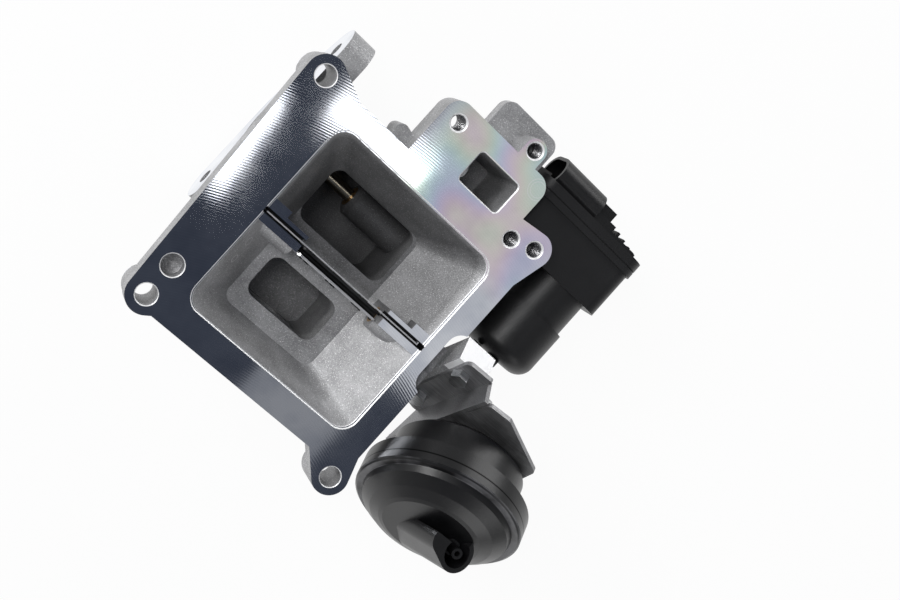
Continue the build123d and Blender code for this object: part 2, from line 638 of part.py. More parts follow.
def make_flap_shaft():
    """Shaft with two flats between the leaves."""
    shaft = cyl_x(SHAFT_R, *SHAFT_X, FLAP_Y, FLAP_Z)
    flat = GATE_X - SIDE_GAP
    for side in (-1, 1):
        near = FLAP_Y + side * FLAP_GAP / 2
        ends = sorted((near, near + side * SHAFT_R))
        shaft -= block((-flat, flat), ends, (FLAP_Z - SHAFT_R - 1, FLAP_Z + SHAFT_R + 1))
    for x in RIVETS:
        shaft -= cyl_y(RIVET_R, FLAP_Y - SHAFT_R, FLAP_Y + SHAFT_R, x, FLAP_Z)
    return shaft


# the flap shaft seen in the can's frame, and the lever arm that keeps its pin on the rod's line
FLAP_S = (FLAP_Y - CAN_Y) * CAN_DIR[1] + (FLAP_Z - CAN_Z) * CAN_DIR[2]
FLAP_V = (FLAP_Y - CAN_Y) * CAN_DIR[2] - (FLAP_Z - CAN_Z) * CAN_DIR[1]
HALF_SWING = radians(FLAP_SWING / 2)
LEVER_ARM = FLAP_V * 2 / (1 + cos(HALF_SWING))
PIN_S = FLAP_S - LEVER_ARM * sin(HALF_SWING)
PIN_V = FLAP_V - LEVER_ARM * cos(HALF_SWING)
LEVER_X = (LEVER_AT - CAN_X, LEVER_AT + LEVER_T - CAN_X)


def can_bar(r, v, s, x0, x1):
    """Round bar along X, placed in the can's frame."""
    return CAN * Pos(x0, v, s) * Rot(0, 90, 0) * bar(r, x1 - x0)


def make_lever():
    """Lever on the flap shaft, at rest turned half a swing away from the can."""
    arm = hull((FLAP_V, FLAP_S, 2 * SHAFT_R), (PIN_V, PIN_S, LEVER_PIN_R + 2))
    lever = extrude(can_side(LEVER_X[0]) * arm, LEVER_T)
    lever += can_bar(2 * SHAFT_R, FLAP_V, FLAP_S, LEVER_X[0] - LEVER_T, LEVER_X[0])
    lever -= can_bar(SHAFT_R, FLAP_V, FLAP_S, LEVER_X[0] - LEVER_T - 1, LEVER_X[1] + 1)
    return lever - can_bar(PIN_TAIL_R, PIN_V, PIN_S, LEVER_X[0] - 1, LEVER_X[1] + 1)


def make_lever_pin():
    """Headed pin from the lever through the rod's eye."""
    near, far = -EYE_HALF - SHAFT_ROOM, EYE_HALF + SHAFT_ROOM
    pin = can_bar(PIN_TAIL_R, PIN_V, PIN_S, *LEVER_X)
    pin += can_bar(LEVER_PIN_R + 1.5, PIN_V, PIN_S, LEVER_X[1], near)
    pin += can_bar(LEVER_PIN_R, PIN_V, PIN_S, near, far)
    return pin + can_bar(LEVER_PIN_R + 1.7, PIN_V, PIN_S, far, far + 1.2)


def make_lever_nut():
    """Hexagon nut that clamps the lever on the shaft."""
    nut = extrude(plane_x(LEVER_AT + LEVER_T) * Pos(FLAP_Y, FLAP_Z) * RegularPolygon(NUT_R, 6), NUT_T)
    return nut - cyl_x(SHAFT_R, LEVER_AT, SHAFT_X[1] + 1, FLAP_Y, FLAP_Z)


# ---------------------------------------------------------------- vacuum can
def turned(*points):
    """Solid of revolution about the can's axis from (r, s) points."""
    return CAN * revolve(Plane.XZ * make_face(Polyline(*points, close=True)), Axis.Z)


def make_can_body():
    """Rear shell of the can: a cup with a flared lip, two studs and the rod's hole."""
    t = CAN_SHELL
    neck = CAN_NECK_R
    lip = CAN_RIM_R - 0.8
    outside = [(neck - 2.5, CAN_BACK), (neck, CAN_BACK + 2.5), (neck, -7), (neck + 3.5, -3), (lip, -3)]
    inside = [(lip, -DIAPHRAGM_T / 2), (neck + 2.6, -DIAPHRAGM_T / 2), (neck - t, -6.4)]
    floor = [(neck - t, CAN_BACK + 3), (neck - 3, CAN_BACK + t), (ROD_HOLE_R, CAN_BACK + t)]
    shell = turned((ROD_HOLE_R, CAN_BACK), *outside, *inside, *floor)
    for x, v in CAN_STUDS:
        shell += CAN * Pos(x, v, CAN_BACK - 7.5) * bar(STUD_R, 8)
    return shell


# half sections of the cover as (r, s), from its middle to the rim and back
COVER_INSIDE = [
    (0, COVER_H - CAN_SHELL),
    (COVER_R - 13.5, COVER_H - CAN_SHELL),
    (COVER_R - 12, COVER_H - CAN_SHELL - 0.6),
    (COVER_R - 7.5, COVER_H - CAN_SHELL - 3),
    (COVER_R - 2.8, RIM_H + 2),
    (COVER_R - 2.8, DIAPHRAGM_T / 2),
]
COVER_OUTSIDE = [
    (CAN_RIM_R, RIM_H - 1),
    (CAN_RIM_R - 1.2, RIM_H),
    (COVER_R, RIM_H),
    (COVER_R - 1, RIM_H + 3),
    (COVER_R - 6, COVER_H - 3),
    (COVER_R - 11, COVER_H - 0.6),
    (COVER_R - 13, COVER_H),
    (0, COVER_H),
]


def make_can_cover():
    """Front shell with its crimped rim and stepped, domed face."""
    skirt = [(CAN_RIM_R - 0.8, DIAPHRAGM_T / 2), (CAN_RIM_R - 0.8, -4), (CAN_RIM_R, -4)]
    return turned(*COVER_INSIDE, *skirt, *COVER_OUTSIDE) - vacuum_bore()


def vacuum_bore():
    """Bore of the nipple, along Z into the can."""
    return cyl_z(NIPPLE_BORE_R, -6, NIPPLE_TIP[2] + 1, *NIPPLE_TIP[:2])


def make_vacuum_nipple():
    """Vacuum nipple with its collar and rib, in a C-shaped guard that stands on the cover."""
    x, y, tip = NIPPLE_TIP
    seat = tip - NIPPLE_L
    mouth = Plane(origin=NIPPLE_TIP, x_dir=(GUARD_LEAN[2], 0, -GUARD_LEAN[0]), z_dir=GUARD_LEAN)
    outline = hull((0, 0, GUARD_R), (-9, 1, GUARD_R - 2.4)) - Circle(GUARD_BORE_R)
    gap = rounded((-30, GUARD_MOUTH[1]), (GUARD_MOUTH[0], 30), 1)
    piece = extrude(mouth * (outline - gap), -GUARD_H)
    piece += block((x - GUARD_BORE_R - 2.5, x), (y - 0.5, y + 0.5), (seat - 9, seat))
    piece += cyl_z(NIPPLE_R + 1.2, tip - GUARD_H, seat, x, y) + cyl_z(NIPPLE_R, seat, tip, x, y)
    below = turned((0, -60), (CAN_RIM_R, -60), *COVER_OUTSIDE)
    return piece - below - vacuum_bore()


def make_diaphragm():
    """Rubber diaphragm, clamped at the rim and folded down to its plate."""
    half = DIAPHRAGM_T / 2
    face = PLATE_S + PLATE_T
    back = face + DIAPHRAGM_T
    rim = CAN_RIM_R - 1
    top = [(rim, half), (CAN_NECK_R, half), (PLATE_R + 3.2, back + 2), (PLATE_R + 1.2, back), (0, back)]
    low = [(0, face), (PLATE_R + 1.5, face), (PLATE_R + 4, face + 2.3), (CAN_NECK_R + 0.8, -half)]
    return turned(*top, *low, (rim, -half))


def make_diaphragm_plate():
    """Plate that spreads the diaphragm's pull onto the rod."""
    return turned((0, PLATE_S), (PLATE_R, PLATE_S), (PLATE_R, PLATE_S + PLATE_T), (0, PLATE_S + PLATE_T))


def make_rod():
    """Rod from the diaphragm plate to its eye."""
    start = PIN_S + 8
    return CAN * Pos(0, 0, start) * bar(ROD_R, PLATE_S - start)


def make_rod_end():
    """Eye on the rod, slotted across the rod so that the lever's pin can swing in it."""
    reach = PIN_V + 0.35
    outline = hull((-1.5, PIN_S, 6), (1.5, PIN_S, 6), (0, PIN_S + 7, 4))
    eye = extrude(can_side(-EYE_HALF) * outline, 2 * EYE_HALF)
    eye += CAN * Pos(0, 0, PIN_S + 5) * bar(ROD_R + 1.4, 6)
    slot_r = LEVER_PIN_R + 0.3
    slot = hull((-reach, PIN_S, slot_r), (reach, PIN_S, slot_r))
    eye -= extrude(can_side(-EYE_HALF - 1) * slot, 2 * EYE_HALF + 2)
    return eye - CAN * Pos(0, 0, PIN_S + 8) * bar(ROD_R, 30)


def make_bracket():
    """Bent sheet bracket: a face behind the can, a side web and a foot on the housing's pad."""
    face_s = CAN_BACK - SHEET_T
    left = [(-23, -23, 2), (-23, -2, 2), (-20, 41, 2)]
    right = [(-11, 41.5, 2.5), (17, 27, 3), (20, -5, 4), (6, -24, 4)]
    face = hull(*left, *right)
    sheet = CAN * extrude(Pos(0, 0, face_s) * face, SHEET_T)
    web = make_face(Polyline((-25, CAN_BACK), (43, CAN_BACK), (39, FOOT_S), (-9, FOOT_S), close=True))
    sheet += extrude(can_side(-25) * web, SHEET_T)
    foot = hull((-27, -4, 5), (-34, -4, 3), (-35, 38, 3), (-25.5, 40, 1.5), (-24, 12, 1))
    sheet += CAN * extrude(Pos(0, 0, FOOT_S) * foot, SHEET_T)
    sheet -= CAN * Pos(0, 0, face_s - SHEET_T) * bar(ROD_HOLE_R + 1.3, 3 * SHEET_T)
    for x, v in CAN_STUDS:
        sheet -= CAN * Pos(x, v, face_s - SHEET_T) * bar(STUD_R + 0.2, 3 * SHEET_T)
    for x, v in FOOT_SCREWS:
        sheet -= CAN * Pos(x, v, FOOT_S - SHEET_T) * bar(SCREW_HOLE_R, 3 * SHEET_T)
    return sheet


def screw(depth, head_r=SCREW_HEAD_R, head_h=SCREW_HEAD_H):
    """Hexagon screw along -Z with its head's seat at the origin."""
    return Pos(0, 0, -depth) * bar(SCREW_R, depth) + extrude(RegularPolygon(head_r, 6), head_h)


def make_bracket_screws():
    """Two screws through the bracket's foot."""
    return Compound([CAN * Pos(x, v, FOOT_S + SHEET_T) * screw(8) for x, v in FOOT_SCREWS])


def make_can_nuts():
    """Two nuts on the can's studs, behind the bracket."""
    nut = extrude(RegularPolygon(4.6, 6), -3.2) - Pos(0, 0, -10) * bar(STUD_R, 20)
    return Compound([CAN * Pos(x, v, CAN_BACK - SHEET_T) * nut for x, v in CAN_STUDS])


# ---------------------------------------------------------------- electric drive
def mesh_point(ax, aw, ar, bx, bw, br):
    """Point at distance ar from (ax, aw) and br from (bx, bw), on the side nearer to the flange."""
    dx, dw = bx - ax, bw - aw
    span = sqrt(dx * dx + dw * dw)
    along = (ar * ar - br * br + span * span) / (2 * span)
    off = sqrt(ar * ar - along * along)
    return (ax + (along * dx + off * dw) / span, aw + (along * dw - off * dx) / span)


OUTPUT = (OUTPUT_X, -OUTPUT_Z)                      # (x, -z) of each gear axis
MOTOR = (MOTOR_X, -MOTOR_Z)
INTER = mesh_point(*OUTPUT, OUTPUT_R + SMALL_R, *MOTOR, BIG_R + MOTOR_PINION_R)
TO_INTER = atan2(INTER[1] - OUTPUT[1], INTER[0] - OUTPUT[0])
TO_MOTOR = atan2(MOTOR[1] - INTER[1], MOTOR[0] - INTER[0])
TRAVEL = LIFT / PINION_R                            # turn of the output shaft, radians
LOW_GEARS = (67.5, 74.0)
HIGH_GEARS = (76.0, 83.0)


def flank(teeth, radius):
    """Half of a tooth's thickness at a radius, as an angle, for involute flanks."""
    pitch = MODULE * teeth / 2
    angle = radians(PRESSURE)
    base = pitch * cos(angle)
    half = (pi * MODULE / 2 - BACKLASH) / 2 / pitch
    if radius <= base:
        return half + tan(angle) - angle
    turn = acos(base / radius)
    return half + (tan(angle) - angle) - (tan(turn) - turn)


def gear_face(teeth, start):
    """Outline of a spur gear about the origin with a tooth centred on the angle start."""
    pitch = MODULE * teeth / 2
    root = pitch - DEDENDUM
    radii = [pitch * cos(radians(PRESSURE)) + 0.05, pitch, pitch + ADDENDUM]
    radii = [root] + [r for r in radii if r > root + 0.05]
    pts = []
    for k in range(teeth):
        middle = start + k * 2 * pi / teeth
        side = [(r, flank(teeth, r)) for r in radii]
        pts += [(r * cos(middle - a), r * sin(middle - a)) for r, a in side]
        pts += [(r * cos(middle + a), r * sin(middle + a)) for r, a in reversed(side)]
    return make_face(Polyline(*pts, close=True))


def gear(centre, teeth, start, y):
    """Spur gear on an axis along Y, centre given as (x, -z)."""
    return extrude(plane_y(y[0]) * Pos(*centre) * gear_face(teeth, start), y[1] - y[0])


def make_output_gear():
    """Toothed sector with its hub; it needs teeth only over its travel."""
    margin = radians(16)
    low, high = TO_INTER - margin, TO_INTER + TRAVEL + margin
    middle = (low + high) / 2
    reach = 2 * OUTPUT_R
    corners = [(reach, low), (1.6 * reach, middle), (reach, high)]
    pie = [(0, 0)] + [(r * cos(a), r * sin(a)) for r, a in corners]
    sector = gear_face(OUTPUT_TEETH, TO_INTER) & make_face(Polyline(*pie, close=True))
    hub_r = 2 * OUT_SHAFT_R
    web = hull((0, 0, hub_r), (10 * cos(middle), 10 * sin(middle), hub_r))
    body = slab(Pos(*OUTPUT) * (sector + web), *HIGH_GEARS)
    body += cyl_y(hub_r, HIGH_GEARS[0] - 3, HIGH_GEARS[1] + 2, OUTPUT_X, OUTPUT_Z)
    return body - cyl_y(OUT_SHAFT_R, BOX_Y, SEAM_Y, OUTPUT_X, OUTPUT_Z)


def make_output_pinion():
    """Pinion that drives the stem's rack."""
    y = (VALVE_Y - RACK_HALF, VALVE_Y + RACK_HALF)
    pinion = gear(OUTPUT, PINION_TEETH, -pi / 2, y)
    return pinion - cyl_y(OUT_SHAFT_R, y[0] - 1, y[1] + 1, OUTPUT_X, OUTPUT_Z)


def make_intermediate_gear():
    """Big and small gear moulded as one."""
    wheel = gear(INTER, BIG_TEETH, TO_MOTOR, LOW_GEARS)
    wheel += gear(INTER, SMALL_TEETH, TO_INTER + pi + pi / SMALL_TEETH, (LOW_GEARS[1], HIGH_GEARS[1] + 0.5))
    return wheel - cyl_y(INTER_PIN_R + RUN, BOX_Y, SEAM_Y, INTER[0], -INTER[1])


def gearbox_outline(inset):
    """Outline of the gearbox in (x, -z), drawn in by the inset."""
    near = CONN_W[0] + 0.5
    front = [(OUTPUT_X - 2.5, near, 7.5), (OUTPUT_X - 9, near + 10.5, 7.5), (OUTPUT_X - 9, OUTPUT[1] + 4, 8)]
    rear = [(MOTOR_X + 12.5, near, 7.5), (MOTOR_X + 10, MOTOR[1] + 12, 9.5)]
    rear.append((INTER[0] + 1.5, OUTPUT[1] + 6, 7))
    return hull(*[(x, w, r - inset) for x, w, r in front + rear])


def slab(face, y0, y1):
    """Flat face in (x, -z), extruded along Y between two ends."""
    return extrude(plane_y(y0) * face, y1 - y0)


def make_gearbox():
    """Moulded gearbox with the motor's barrel on its back."""
    box = slab(gearbox_outline(0), BOX_Y, SEAM_Y)
    box += slab(gearbox_outline(-LIP), SEAM_Y - 3, SEAM_Y)
    box += cyl_y(BARREL_R, MOTOR_CAP_Y, BOX_Y + 1, MOTOR_X, MOTOR_Z)
    box -= slab(gearbox_outline(BOX_WALL), BOX_Y + 3.5, SEAM_Y + 1)
    box -= cyl_y(CAN_MOTOR_R, MOTOR_CAP_Y - 1, BOX_Y + 4, MOTOR_X, MOTOR_Z)
    box += cyl_y(OUT_BUSH_R + 3, BOX_Y, LOW_GEARS[0] + 4, OUTPUT_X, OUTPUT_Z)
    box += cyl_y(INTER_PIN_R + 1.2, BOX_Y, LOW_GEARS[0] - 0.4, INTER[0], -INTER[1])
    box -= cyl_y(OUT_BUSH_R, BOX_Y - 1, LOW_GEARS[0] + 5, OUTPUT_X, OUTPUT_Z)
    box -= cyl_y(INTER_PIN_R, BOX_Y + 1, LOW_GEARS[0], INTER[0], -INTER[1])
    for x, z in gearbox_screw_places():
        box -= cyl_y(SCREW_R, BOX_Y - 1, BOX_Y + 9, x, z)
    return box


def gearbox_screw_places():
    """Three screws round the output shaft."""
    turns = [radians(a) for a in (100, 200, 340)]
    return [(OUTPUT_X + DRIVE_EAR_R * cos(a), OUTPUT_Z + DRIVE_EAR_R * sin(a)) for a in turns]


def make_drive_case():
    """Cast case round the rack and pinion, with a sleeve for the output shaft."""
    foot = hull(*[(y, z, DRIVE_PAD_R) for y, z in DRIVE_SCREWS])
    case = extrude(plane_x(DRIVE_PAD_X) * foot, CASE_FOOT)
    outer = hull((36, 41, 6), (59.2, 43.6, 4.5), (59.2, 52, 4.5), (57, 60.5, 6.5), (36, 61.5, 6))
    inner = hull((20, 41, 3), (59.2, 43.6, 2), (59.2, 52, 2), (57, 60.5, 4), (20, 61.5, 3))
    case += slab(outer, *CASE_Y)
    case += cyl_y(OUT_BUSH_R + 3, CASE_Y[0], BOX_Y, OUTPUT_X, OUTPUT_Z)
    ears = [(x, -z, 5) for x, z in gearbox_screw_places()]
    case += slab(hull(*ears), BOX_Y - 4, BOX_Y)
    room = slab(inner, CASE_Y[0] + 3, CASE_Y[1] - 3)
    case -= room & block((DRIVE_PAD_X - 1, FAR), (0, BOX_Y), (-FAR, 0))
    case -= cyl_x(SEAL_R + 0.2, DRIVE_PAD_X - 1, RACK_X + 1, VALVE_Y, VALVE_Z)
    case -= cyl_y(OUT_BUSH_R, CASE_Y[0] + 1, BOX_Y + 1, OUTPUT_X, OUTPUT_Z)
    for x, z in gearbox_screw_places():
        case -= cyl_y(SCREW_HOLE_R, BOX_Y - 5, BOX_Y + 1, x, z)
    for y, z in DRIVE_SCREWS:
        case -= cyl_x(SCREW_HOLE_R, DRIVE_PAD_X - 1, DRIVE_PAD_X + CASE_FOOT + 1, y, z)
    return case


def make_output_bushes():
    """Bushes at both ends of the output shaft."""
    ends = ((CASE_Y[0] + 1, VALVE_Y - 4.4), (BOX_Y, LOW_GEARS[0] + 4))
    rings = [ring_y(OUT_SHAFT_R + RUN, OUT_BUSH_R, a, b, OUTPUT_X, OUTPUT_Z) for a, b in ends]
    return Compound(rings)


def socket_oval(r):
    """Oval of the wiring socket, across X."""
    return hull((CONN_Y, -CONN_W[0], r), (CONN_Y, -CONN_W[1], r))


def make_cover():
    """Gearbox cover with the wiring socket and its ribs."""
    inside = SEAM_Y + COVER_T - COVER_SKIN
    cover = slab(gearbox_outline(-LIP), SEAM_Y + GASKET_T, SEAM_Y + COVER_T)
    cover += slab(gearbox_outline(4), SEAM_Y + COVER_T - 1, SEAM_Y + COVER_T + 2)
    cover -= slab(gearbox_outline(BOX_WALL + 1), SEAM_Y, inside)
    cover += extrude(plane_x(CONN_X[0]) * socket_oval(CONN_R), CONN_X[1] - CONN_X[0])
    root_z = (-CONN_W[1] - 4, -CONN_W[0] + 4)
    cover += block((CONN_X[0] + 6, CONN_X[1] + 12), (SEAM_Y + COVER_T - 1, CONN_Y), root_z)
    cover += block((CONN_X[1], CONN_X[1] + 10), (CONN_Y - 1, CONN_Y + 5), (-CONN_W[1], -CONN_W[0]))
    cover -= extrude(plane_x(CONN_X[0] - 1) * socket_oval(CONN_R - CONN_WALL), CONN_DEPTH + 1)
    for k in range(4):
        x = MOTOR_X + 2 + 4 * k
        top = SEAM_Y + COVER_T + 4 - 0.8 * k
        cover += block((x, x + 1.2), (SEAM_Y + COVER_T - 1, top), (MOTOR_Z - 14, MOTOR_Z + 14))
    return cover


def make_terminals():
    """Blade terminals that stand in the socket's floor."""
    blades = []
    floor = CONN_X[0] + CONN_DEPTH
    for k in range(TERMINALS):
        z = -CONN_W[0] - k * (CONN_W[1] - CONN_W[0]) / (TERMINALS - 1)
        blades.append(block((CONN_X[0] + 8, floor), (CONN_Y - 0.3, CONN_Y + 0.3), (z - 0.5, z + 0.5)))
    return Compound(blades)


def make_sensor_board():
    """Circuit board under the cover, over the output shaft's magnet."""
    top = SEAM_Y + COVER_T - COVER_SKIN
    return block((OUTPUT_X - 9, OUTPUT_X + 11), (top - BOARD_T, top), (OUTPUT_Z - 6, OUTPUT_Z + 12))


def make_gasket():
    """Flat gasket between gearbox and cover."""
    ring = slab(gearbox_outline(-LIP / 2), SEAM_Y, SEAM_Y + GASKET_T)
    return ring - slab(gearbox_outline(BOX_WALL), SEAM_Y - 1, SEAM_Y + GASKET_T + 1)


def make_motor_cap():
    """Domed cap over the motor's end."""
    cap = cyl_y(MOTOR_CAP_R, MOTOR_END_Y, MOTOR_CAP_Y, MOTOR_X, MOTOR_Z)
    cap = fillet(cap.edges().filter_by(GeomType.CIRCLE).sort_by(Axis.Y)[:1], 8)
    return cap - cyl_y(CAN_MOTOR_R, MOTOR_BACK, MOTOR_CAP_Y + 1, MOTOR_X, MOTOR_Z)


def make_motor_can():
    """Drawn steel can of the motor."""
    can = cyl_y(CAN_MOTOR_R, MOTOR_BACK, MOTOR_FRONT, MOTOR_X, MOTOR_Z)
    can -= cyl_y(CAN_MOTOR_R - MOTOR_SHELL, MOTOR_BACK + MOTOR_SHELL, MOTOR_FRONT - 2, MOTOR_X, MOTOR_Z)
    return can - cyl_y(MOTOR_BUSH_R, MOTOR_BACK - 1, MOTOR_FRONT + 1, MOTOR_X, MOTOR_Z)


def make_magnets():
    """Two curved magnets on the can's wall."""
    y = (MOTOR_BACK + 5, MOTOR_CAP_Y + 8)
    ring = ring_y(CORE_R + 0.6, CAN_MOTOR_R - MOTOR_SHELL, *y, MOTOR_X, MOTOR_Z)
    gap = block((MOTOR_X - BARREL_R, MOTOR_X + BARREL_R), (y[0] - 1, y[1] + 1), (MOTOR_Z - 3, MOTOR_Z + 3))
    return ring - gap


def make_motor_bearings():
    """Bushes at both ends of the motor's can."""
    ends = ((MOTOR_BACK, MOTOR_BACK + 2.5), (MOTOR_FRONT - 2.5, MOTOR_FRONT))
    return Compound([ring_y(ROTOR_R + RUN, MOTOR_BUSH_R, a, b, MOTOR_X, MOTOR_Z) for a, b in ends])


def make_rotor_core():
    """Laminated core with slots, and the commutator beside it."""
    y = (MOTOR_BACK + 6, MOTOR_CAP_Y + 6)
    core = cyl_y(CORE_R, *y, MOTOR_X, MOTOR_Z)
    slot = block((0.65 * CORE_R, CORE_R + 1), (y[0] - 1, y[1] + 1), (-1.5, 1.5))
    for k in range(5):
        core -= Pos(MOTOR_X, 0, MOTOR_Z) * Rot(0, 72 * k, 0) * slot
    core += cyl_y(ROTOR_R + 3, y[1] + 1.5, y[1] + 7, MOTOR_X, MOTOR_Z)
    core += cyl_y(ROTOR_R + 1.5, y[1] - 1, y[1] + 2, MOTOR_X, MOTOR_Z)
    return core - cyl_y(ROTOR_R, y[0] - 2, y[1] + 9, MOTOR_X, MOTOR_Z)


def make_spigot():
    """Steel coolant pipe pressed into the pocket's floor, with a collar above its free end."""
    under = -WINDOW_DEPTH - WALL
    pipe = cyl_z(PIPE_SEAT_R, under, -WINDOW_DEPTH - 0.5, *PIPE_AT)
    pipe += cyl_z(PIPE_SEAT_R + 1.2, under - 2.5, under, *PIPE_AT)
    pipe += cyl_z(PIPE_R, under - 2.5 - PIPE_L, under - 2.5, *PIPE_AT)
    return pipe - cyl_z(PIPE_R - PIPE_WALL, under - PIPE_L - 5, -WINDOW_DEPTH, *PIPE_AT)


def bush_x(x0):
    """Plain bush of the flap shaft."""
    return ring_x(SHAFT_R + RUN, BUSH_R, x0, x0 + BUSH_L, FLAP_Y, FLAP_Z)


# ---------------------------------------------------------------- pieces of the housing
for name, piece in split_housing(make_housing()).items():
    save(name, piece)
save("divider_strip", make_divider_strip())
save("valve_seat_ring", make_seat_ring())
save("stem_guide_bush", ring_x(STEM_R + RUN, GUIDE_BUSH_R, GUIDE_END, ROOM_WALL_X - 2, VALVE_Y, VALVE_Z))
save("stem_seal", ring_x(STEM_R + RUN, SEAL_R, ROOM_WALL_X + 1, ROOM_WALL_X + 4, VALVE_Y, VALVE_Z))
save("flap_bushes", Compound([bush_x(x) for x in (-GATE_X - BUSH_L, GATE_X, BOSS_END - BUSH_L)]))
save("coolant_spigot", make_spigot())

# ---------------------------------------------------------------- pieces of the valve and its drive
save("valve_poppet", make_poppet())
save("spring_retainer", ring_x(STEM_R, 5.5, SPRING_X[1], RACK_X, VALVE_Y, VALVE_Z))
save("stem_rack", make_stem_rack())
spring = coil(4.8, 1.2, SPRING_X[1] - SPRING_X[0], 4)
save("valve_return_spring", Pos(SPRING_X[0], VALVE_Y, VALVE_Z) * Rot(0, 90, 0) * spring)
save("drive_case", make_drive_case())
case_screw = Rot(0, 90, 0) * screw(12)
case_screws = [Pos(DRIVE_PAD_X + CASE_FOOT, y, z) * case_screw for y, z in DRIVE_SCREWS]
save("drive_case_screws", Compound(case_screws))
save("output_bushes", make_output_bushes())
save("output_shaft", cyl_y(OUT_SHAFT_R, CASE_Y[0] + 1.5, HIGH_GEARS[1] + 3.5, OUTPUT_X, OUTPUT_Z))
save("output_pinion", make_output_pinion())
save("output_gear", make_output_gear())
save("sensor_magnet", cyl_y(4, HIGH_GEARS[1] + 3.5, HIGH_GEARS[1] + 5, OUTPUT_X, OUTPUT_Z))
save("intermediate_gear", make_intermediate_gear())
save("intermediate_pin", cyl_y(INTER_PIN_R, BOX_Y + 1, SEAM_Y - 1, INTER[0], -INTER[1]))
save("gearbox_housing", make_gearbox())
box_screw = Rot(90, 0, 0) * screw(12)
save("gearbox_screws", Compound([Pos(x, BOX_Y - 4, z) * box_screw for x, z in gearbox_screw_places()]))
save("gearbox_gasket", make_gasket())
save("gearbox_cover", make_cover())
save("connector_terminals", make_terminals())
save("sensor_board", make_sensor_board())
save("motor_cap", make_motor_cap())
save("motor_can", make_motor_can())
save("motor_magnets", make_magnets())
save("motor_bearings", make_motor_bearings())
save("rotor_shaft", cyl_y(ROTOR_R, MOTOR_BACK + 1, LOW_GEARS[1] + 2, MOTOR_X, MOTOR_Z))
save("rotor_core", make_rotor_core())
motor_pinion = gear(MOTOR, MOTOR_TEETH, TO_MOTOR + pi + pi / MOTOR_TEETH, LOW_GEARS)
save("motor_pinion", motor_pinion - cyl_y(ROTOR_R, BOX_Y, SEAM_Y, MOTOR_X, MOTOR_Z))

# ---------------------------------------------------------------- pieces of the flap and the can
save("flap_leaf_front", make_leaf(-1))
save("flap_leaf_rear", make_leaf(1))
save("flap_rivets", make_rivets())
save("flap_shaft", make_flap_shaft())
save("flap_lever", make_lever())
save("lever_pin", make_lever_pin())
save("lever_nut", make_lever_nut())
save("can_bracket", make_bracket())
save("bracket_screws", make_bracket_screws())
save("can_body", make_can_body())
save("can_cover", make_can_cover())
save("vacuum_nipple", make_vacuum_nipple())
save("can_nuts", make_can_nuts())
save("diaphragm", make_diaphragm())
save("diaphragm_plate", make_diaphragm_plate())
spring_foot = PLATE_S + PLATE_T + DIAPHRAGM_T
save("diaphragm_spring", CAN * Pos(0, 0, spring_foot) * coil(13, 1.8, COVER_H - CAN_SHELL - spring_foot, 5))
save("actuator_rod", make_rod())
save("rod_end", make_rod_end())

os.makedirs("parts", exist_ok=True)
for name, shape in parts.items():
    export_step(shape, f"parts/{name}.step")
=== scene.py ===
"""Exhaust gas recirculation valve: finishes, small pieces, studio and camera round its CAD frame.

Lengths are metres in the valve's own frame: the origin is the mouth of the main dowel bore, +Z leaves the
cooler flange, +X runs along the divider towards the vacuum can and +Y points towards the electric drive.
"""
import json
import logging
import math
from dataclasses import dataclass, field
from enum import Enum
from typing import Sequence

import bmesh
import bpy
import numpy as np
from mathutils import Matrix, Vector


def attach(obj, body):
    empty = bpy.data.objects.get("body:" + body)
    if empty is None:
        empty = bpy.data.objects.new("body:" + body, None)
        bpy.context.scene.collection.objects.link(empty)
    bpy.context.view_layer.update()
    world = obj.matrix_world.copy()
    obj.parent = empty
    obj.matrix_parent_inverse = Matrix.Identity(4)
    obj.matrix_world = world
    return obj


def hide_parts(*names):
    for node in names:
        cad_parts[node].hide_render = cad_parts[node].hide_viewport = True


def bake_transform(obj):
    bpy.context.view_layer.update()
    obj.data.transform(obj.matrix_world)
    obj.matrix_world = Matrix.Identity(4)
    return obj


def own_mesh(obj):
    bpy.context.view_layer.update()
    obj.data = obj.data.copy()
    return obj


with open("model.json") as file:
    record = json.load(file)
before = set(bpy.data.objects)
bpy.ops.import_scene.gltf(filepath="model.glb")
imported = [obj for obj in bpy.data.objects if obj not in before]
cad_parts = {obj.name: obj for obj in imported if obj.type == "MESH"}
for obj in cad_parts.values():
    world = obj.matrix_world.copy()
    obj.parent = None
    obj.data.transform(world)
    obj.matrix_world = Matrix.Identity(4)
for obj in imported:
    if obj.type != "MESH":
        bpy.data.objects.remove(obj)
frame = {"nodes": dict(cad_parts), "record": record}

LOG = logging.getLogger("egr_valve")
MM = 0.001
CHAMBER = np.array([57.2, 39.6, 0.0])       # chamber's centre seen from the dowel bore, millimetres
CAN_TILT = math.radians(38.0)
CAN_AXIS = (0.0, -math.cos(CAN_TILT), math.sin(CAN_TILT))
CAN_SEAT = np.array([98.0, -41.5, 0.0])     # centre of the can's rim, from the chamber's centre
FULL_TURN = 2 * math.pi
WHITE = (1.0, 1.0, 1.0)
BLACK = (0.0, 0.0, 0.0)

Socket = bpy.types.NodeSocket
Colour = tuple[float, float, float]
Place = tuple[float, float, float]


def near_chamber(x: float, y: float, z: float = 0.0) -> Place:
    """Turn millimetres from the chamber's centre into metres from the dowel bore.

    Args:
        x: Distance along the divider.
        y: Distance towards the drive.
        z: Height over the flange face.

    Returns:
        The point in the valve's own frame.
    """
    return tuple((np.array([x, y, z]) + CHAMBER) * MM)


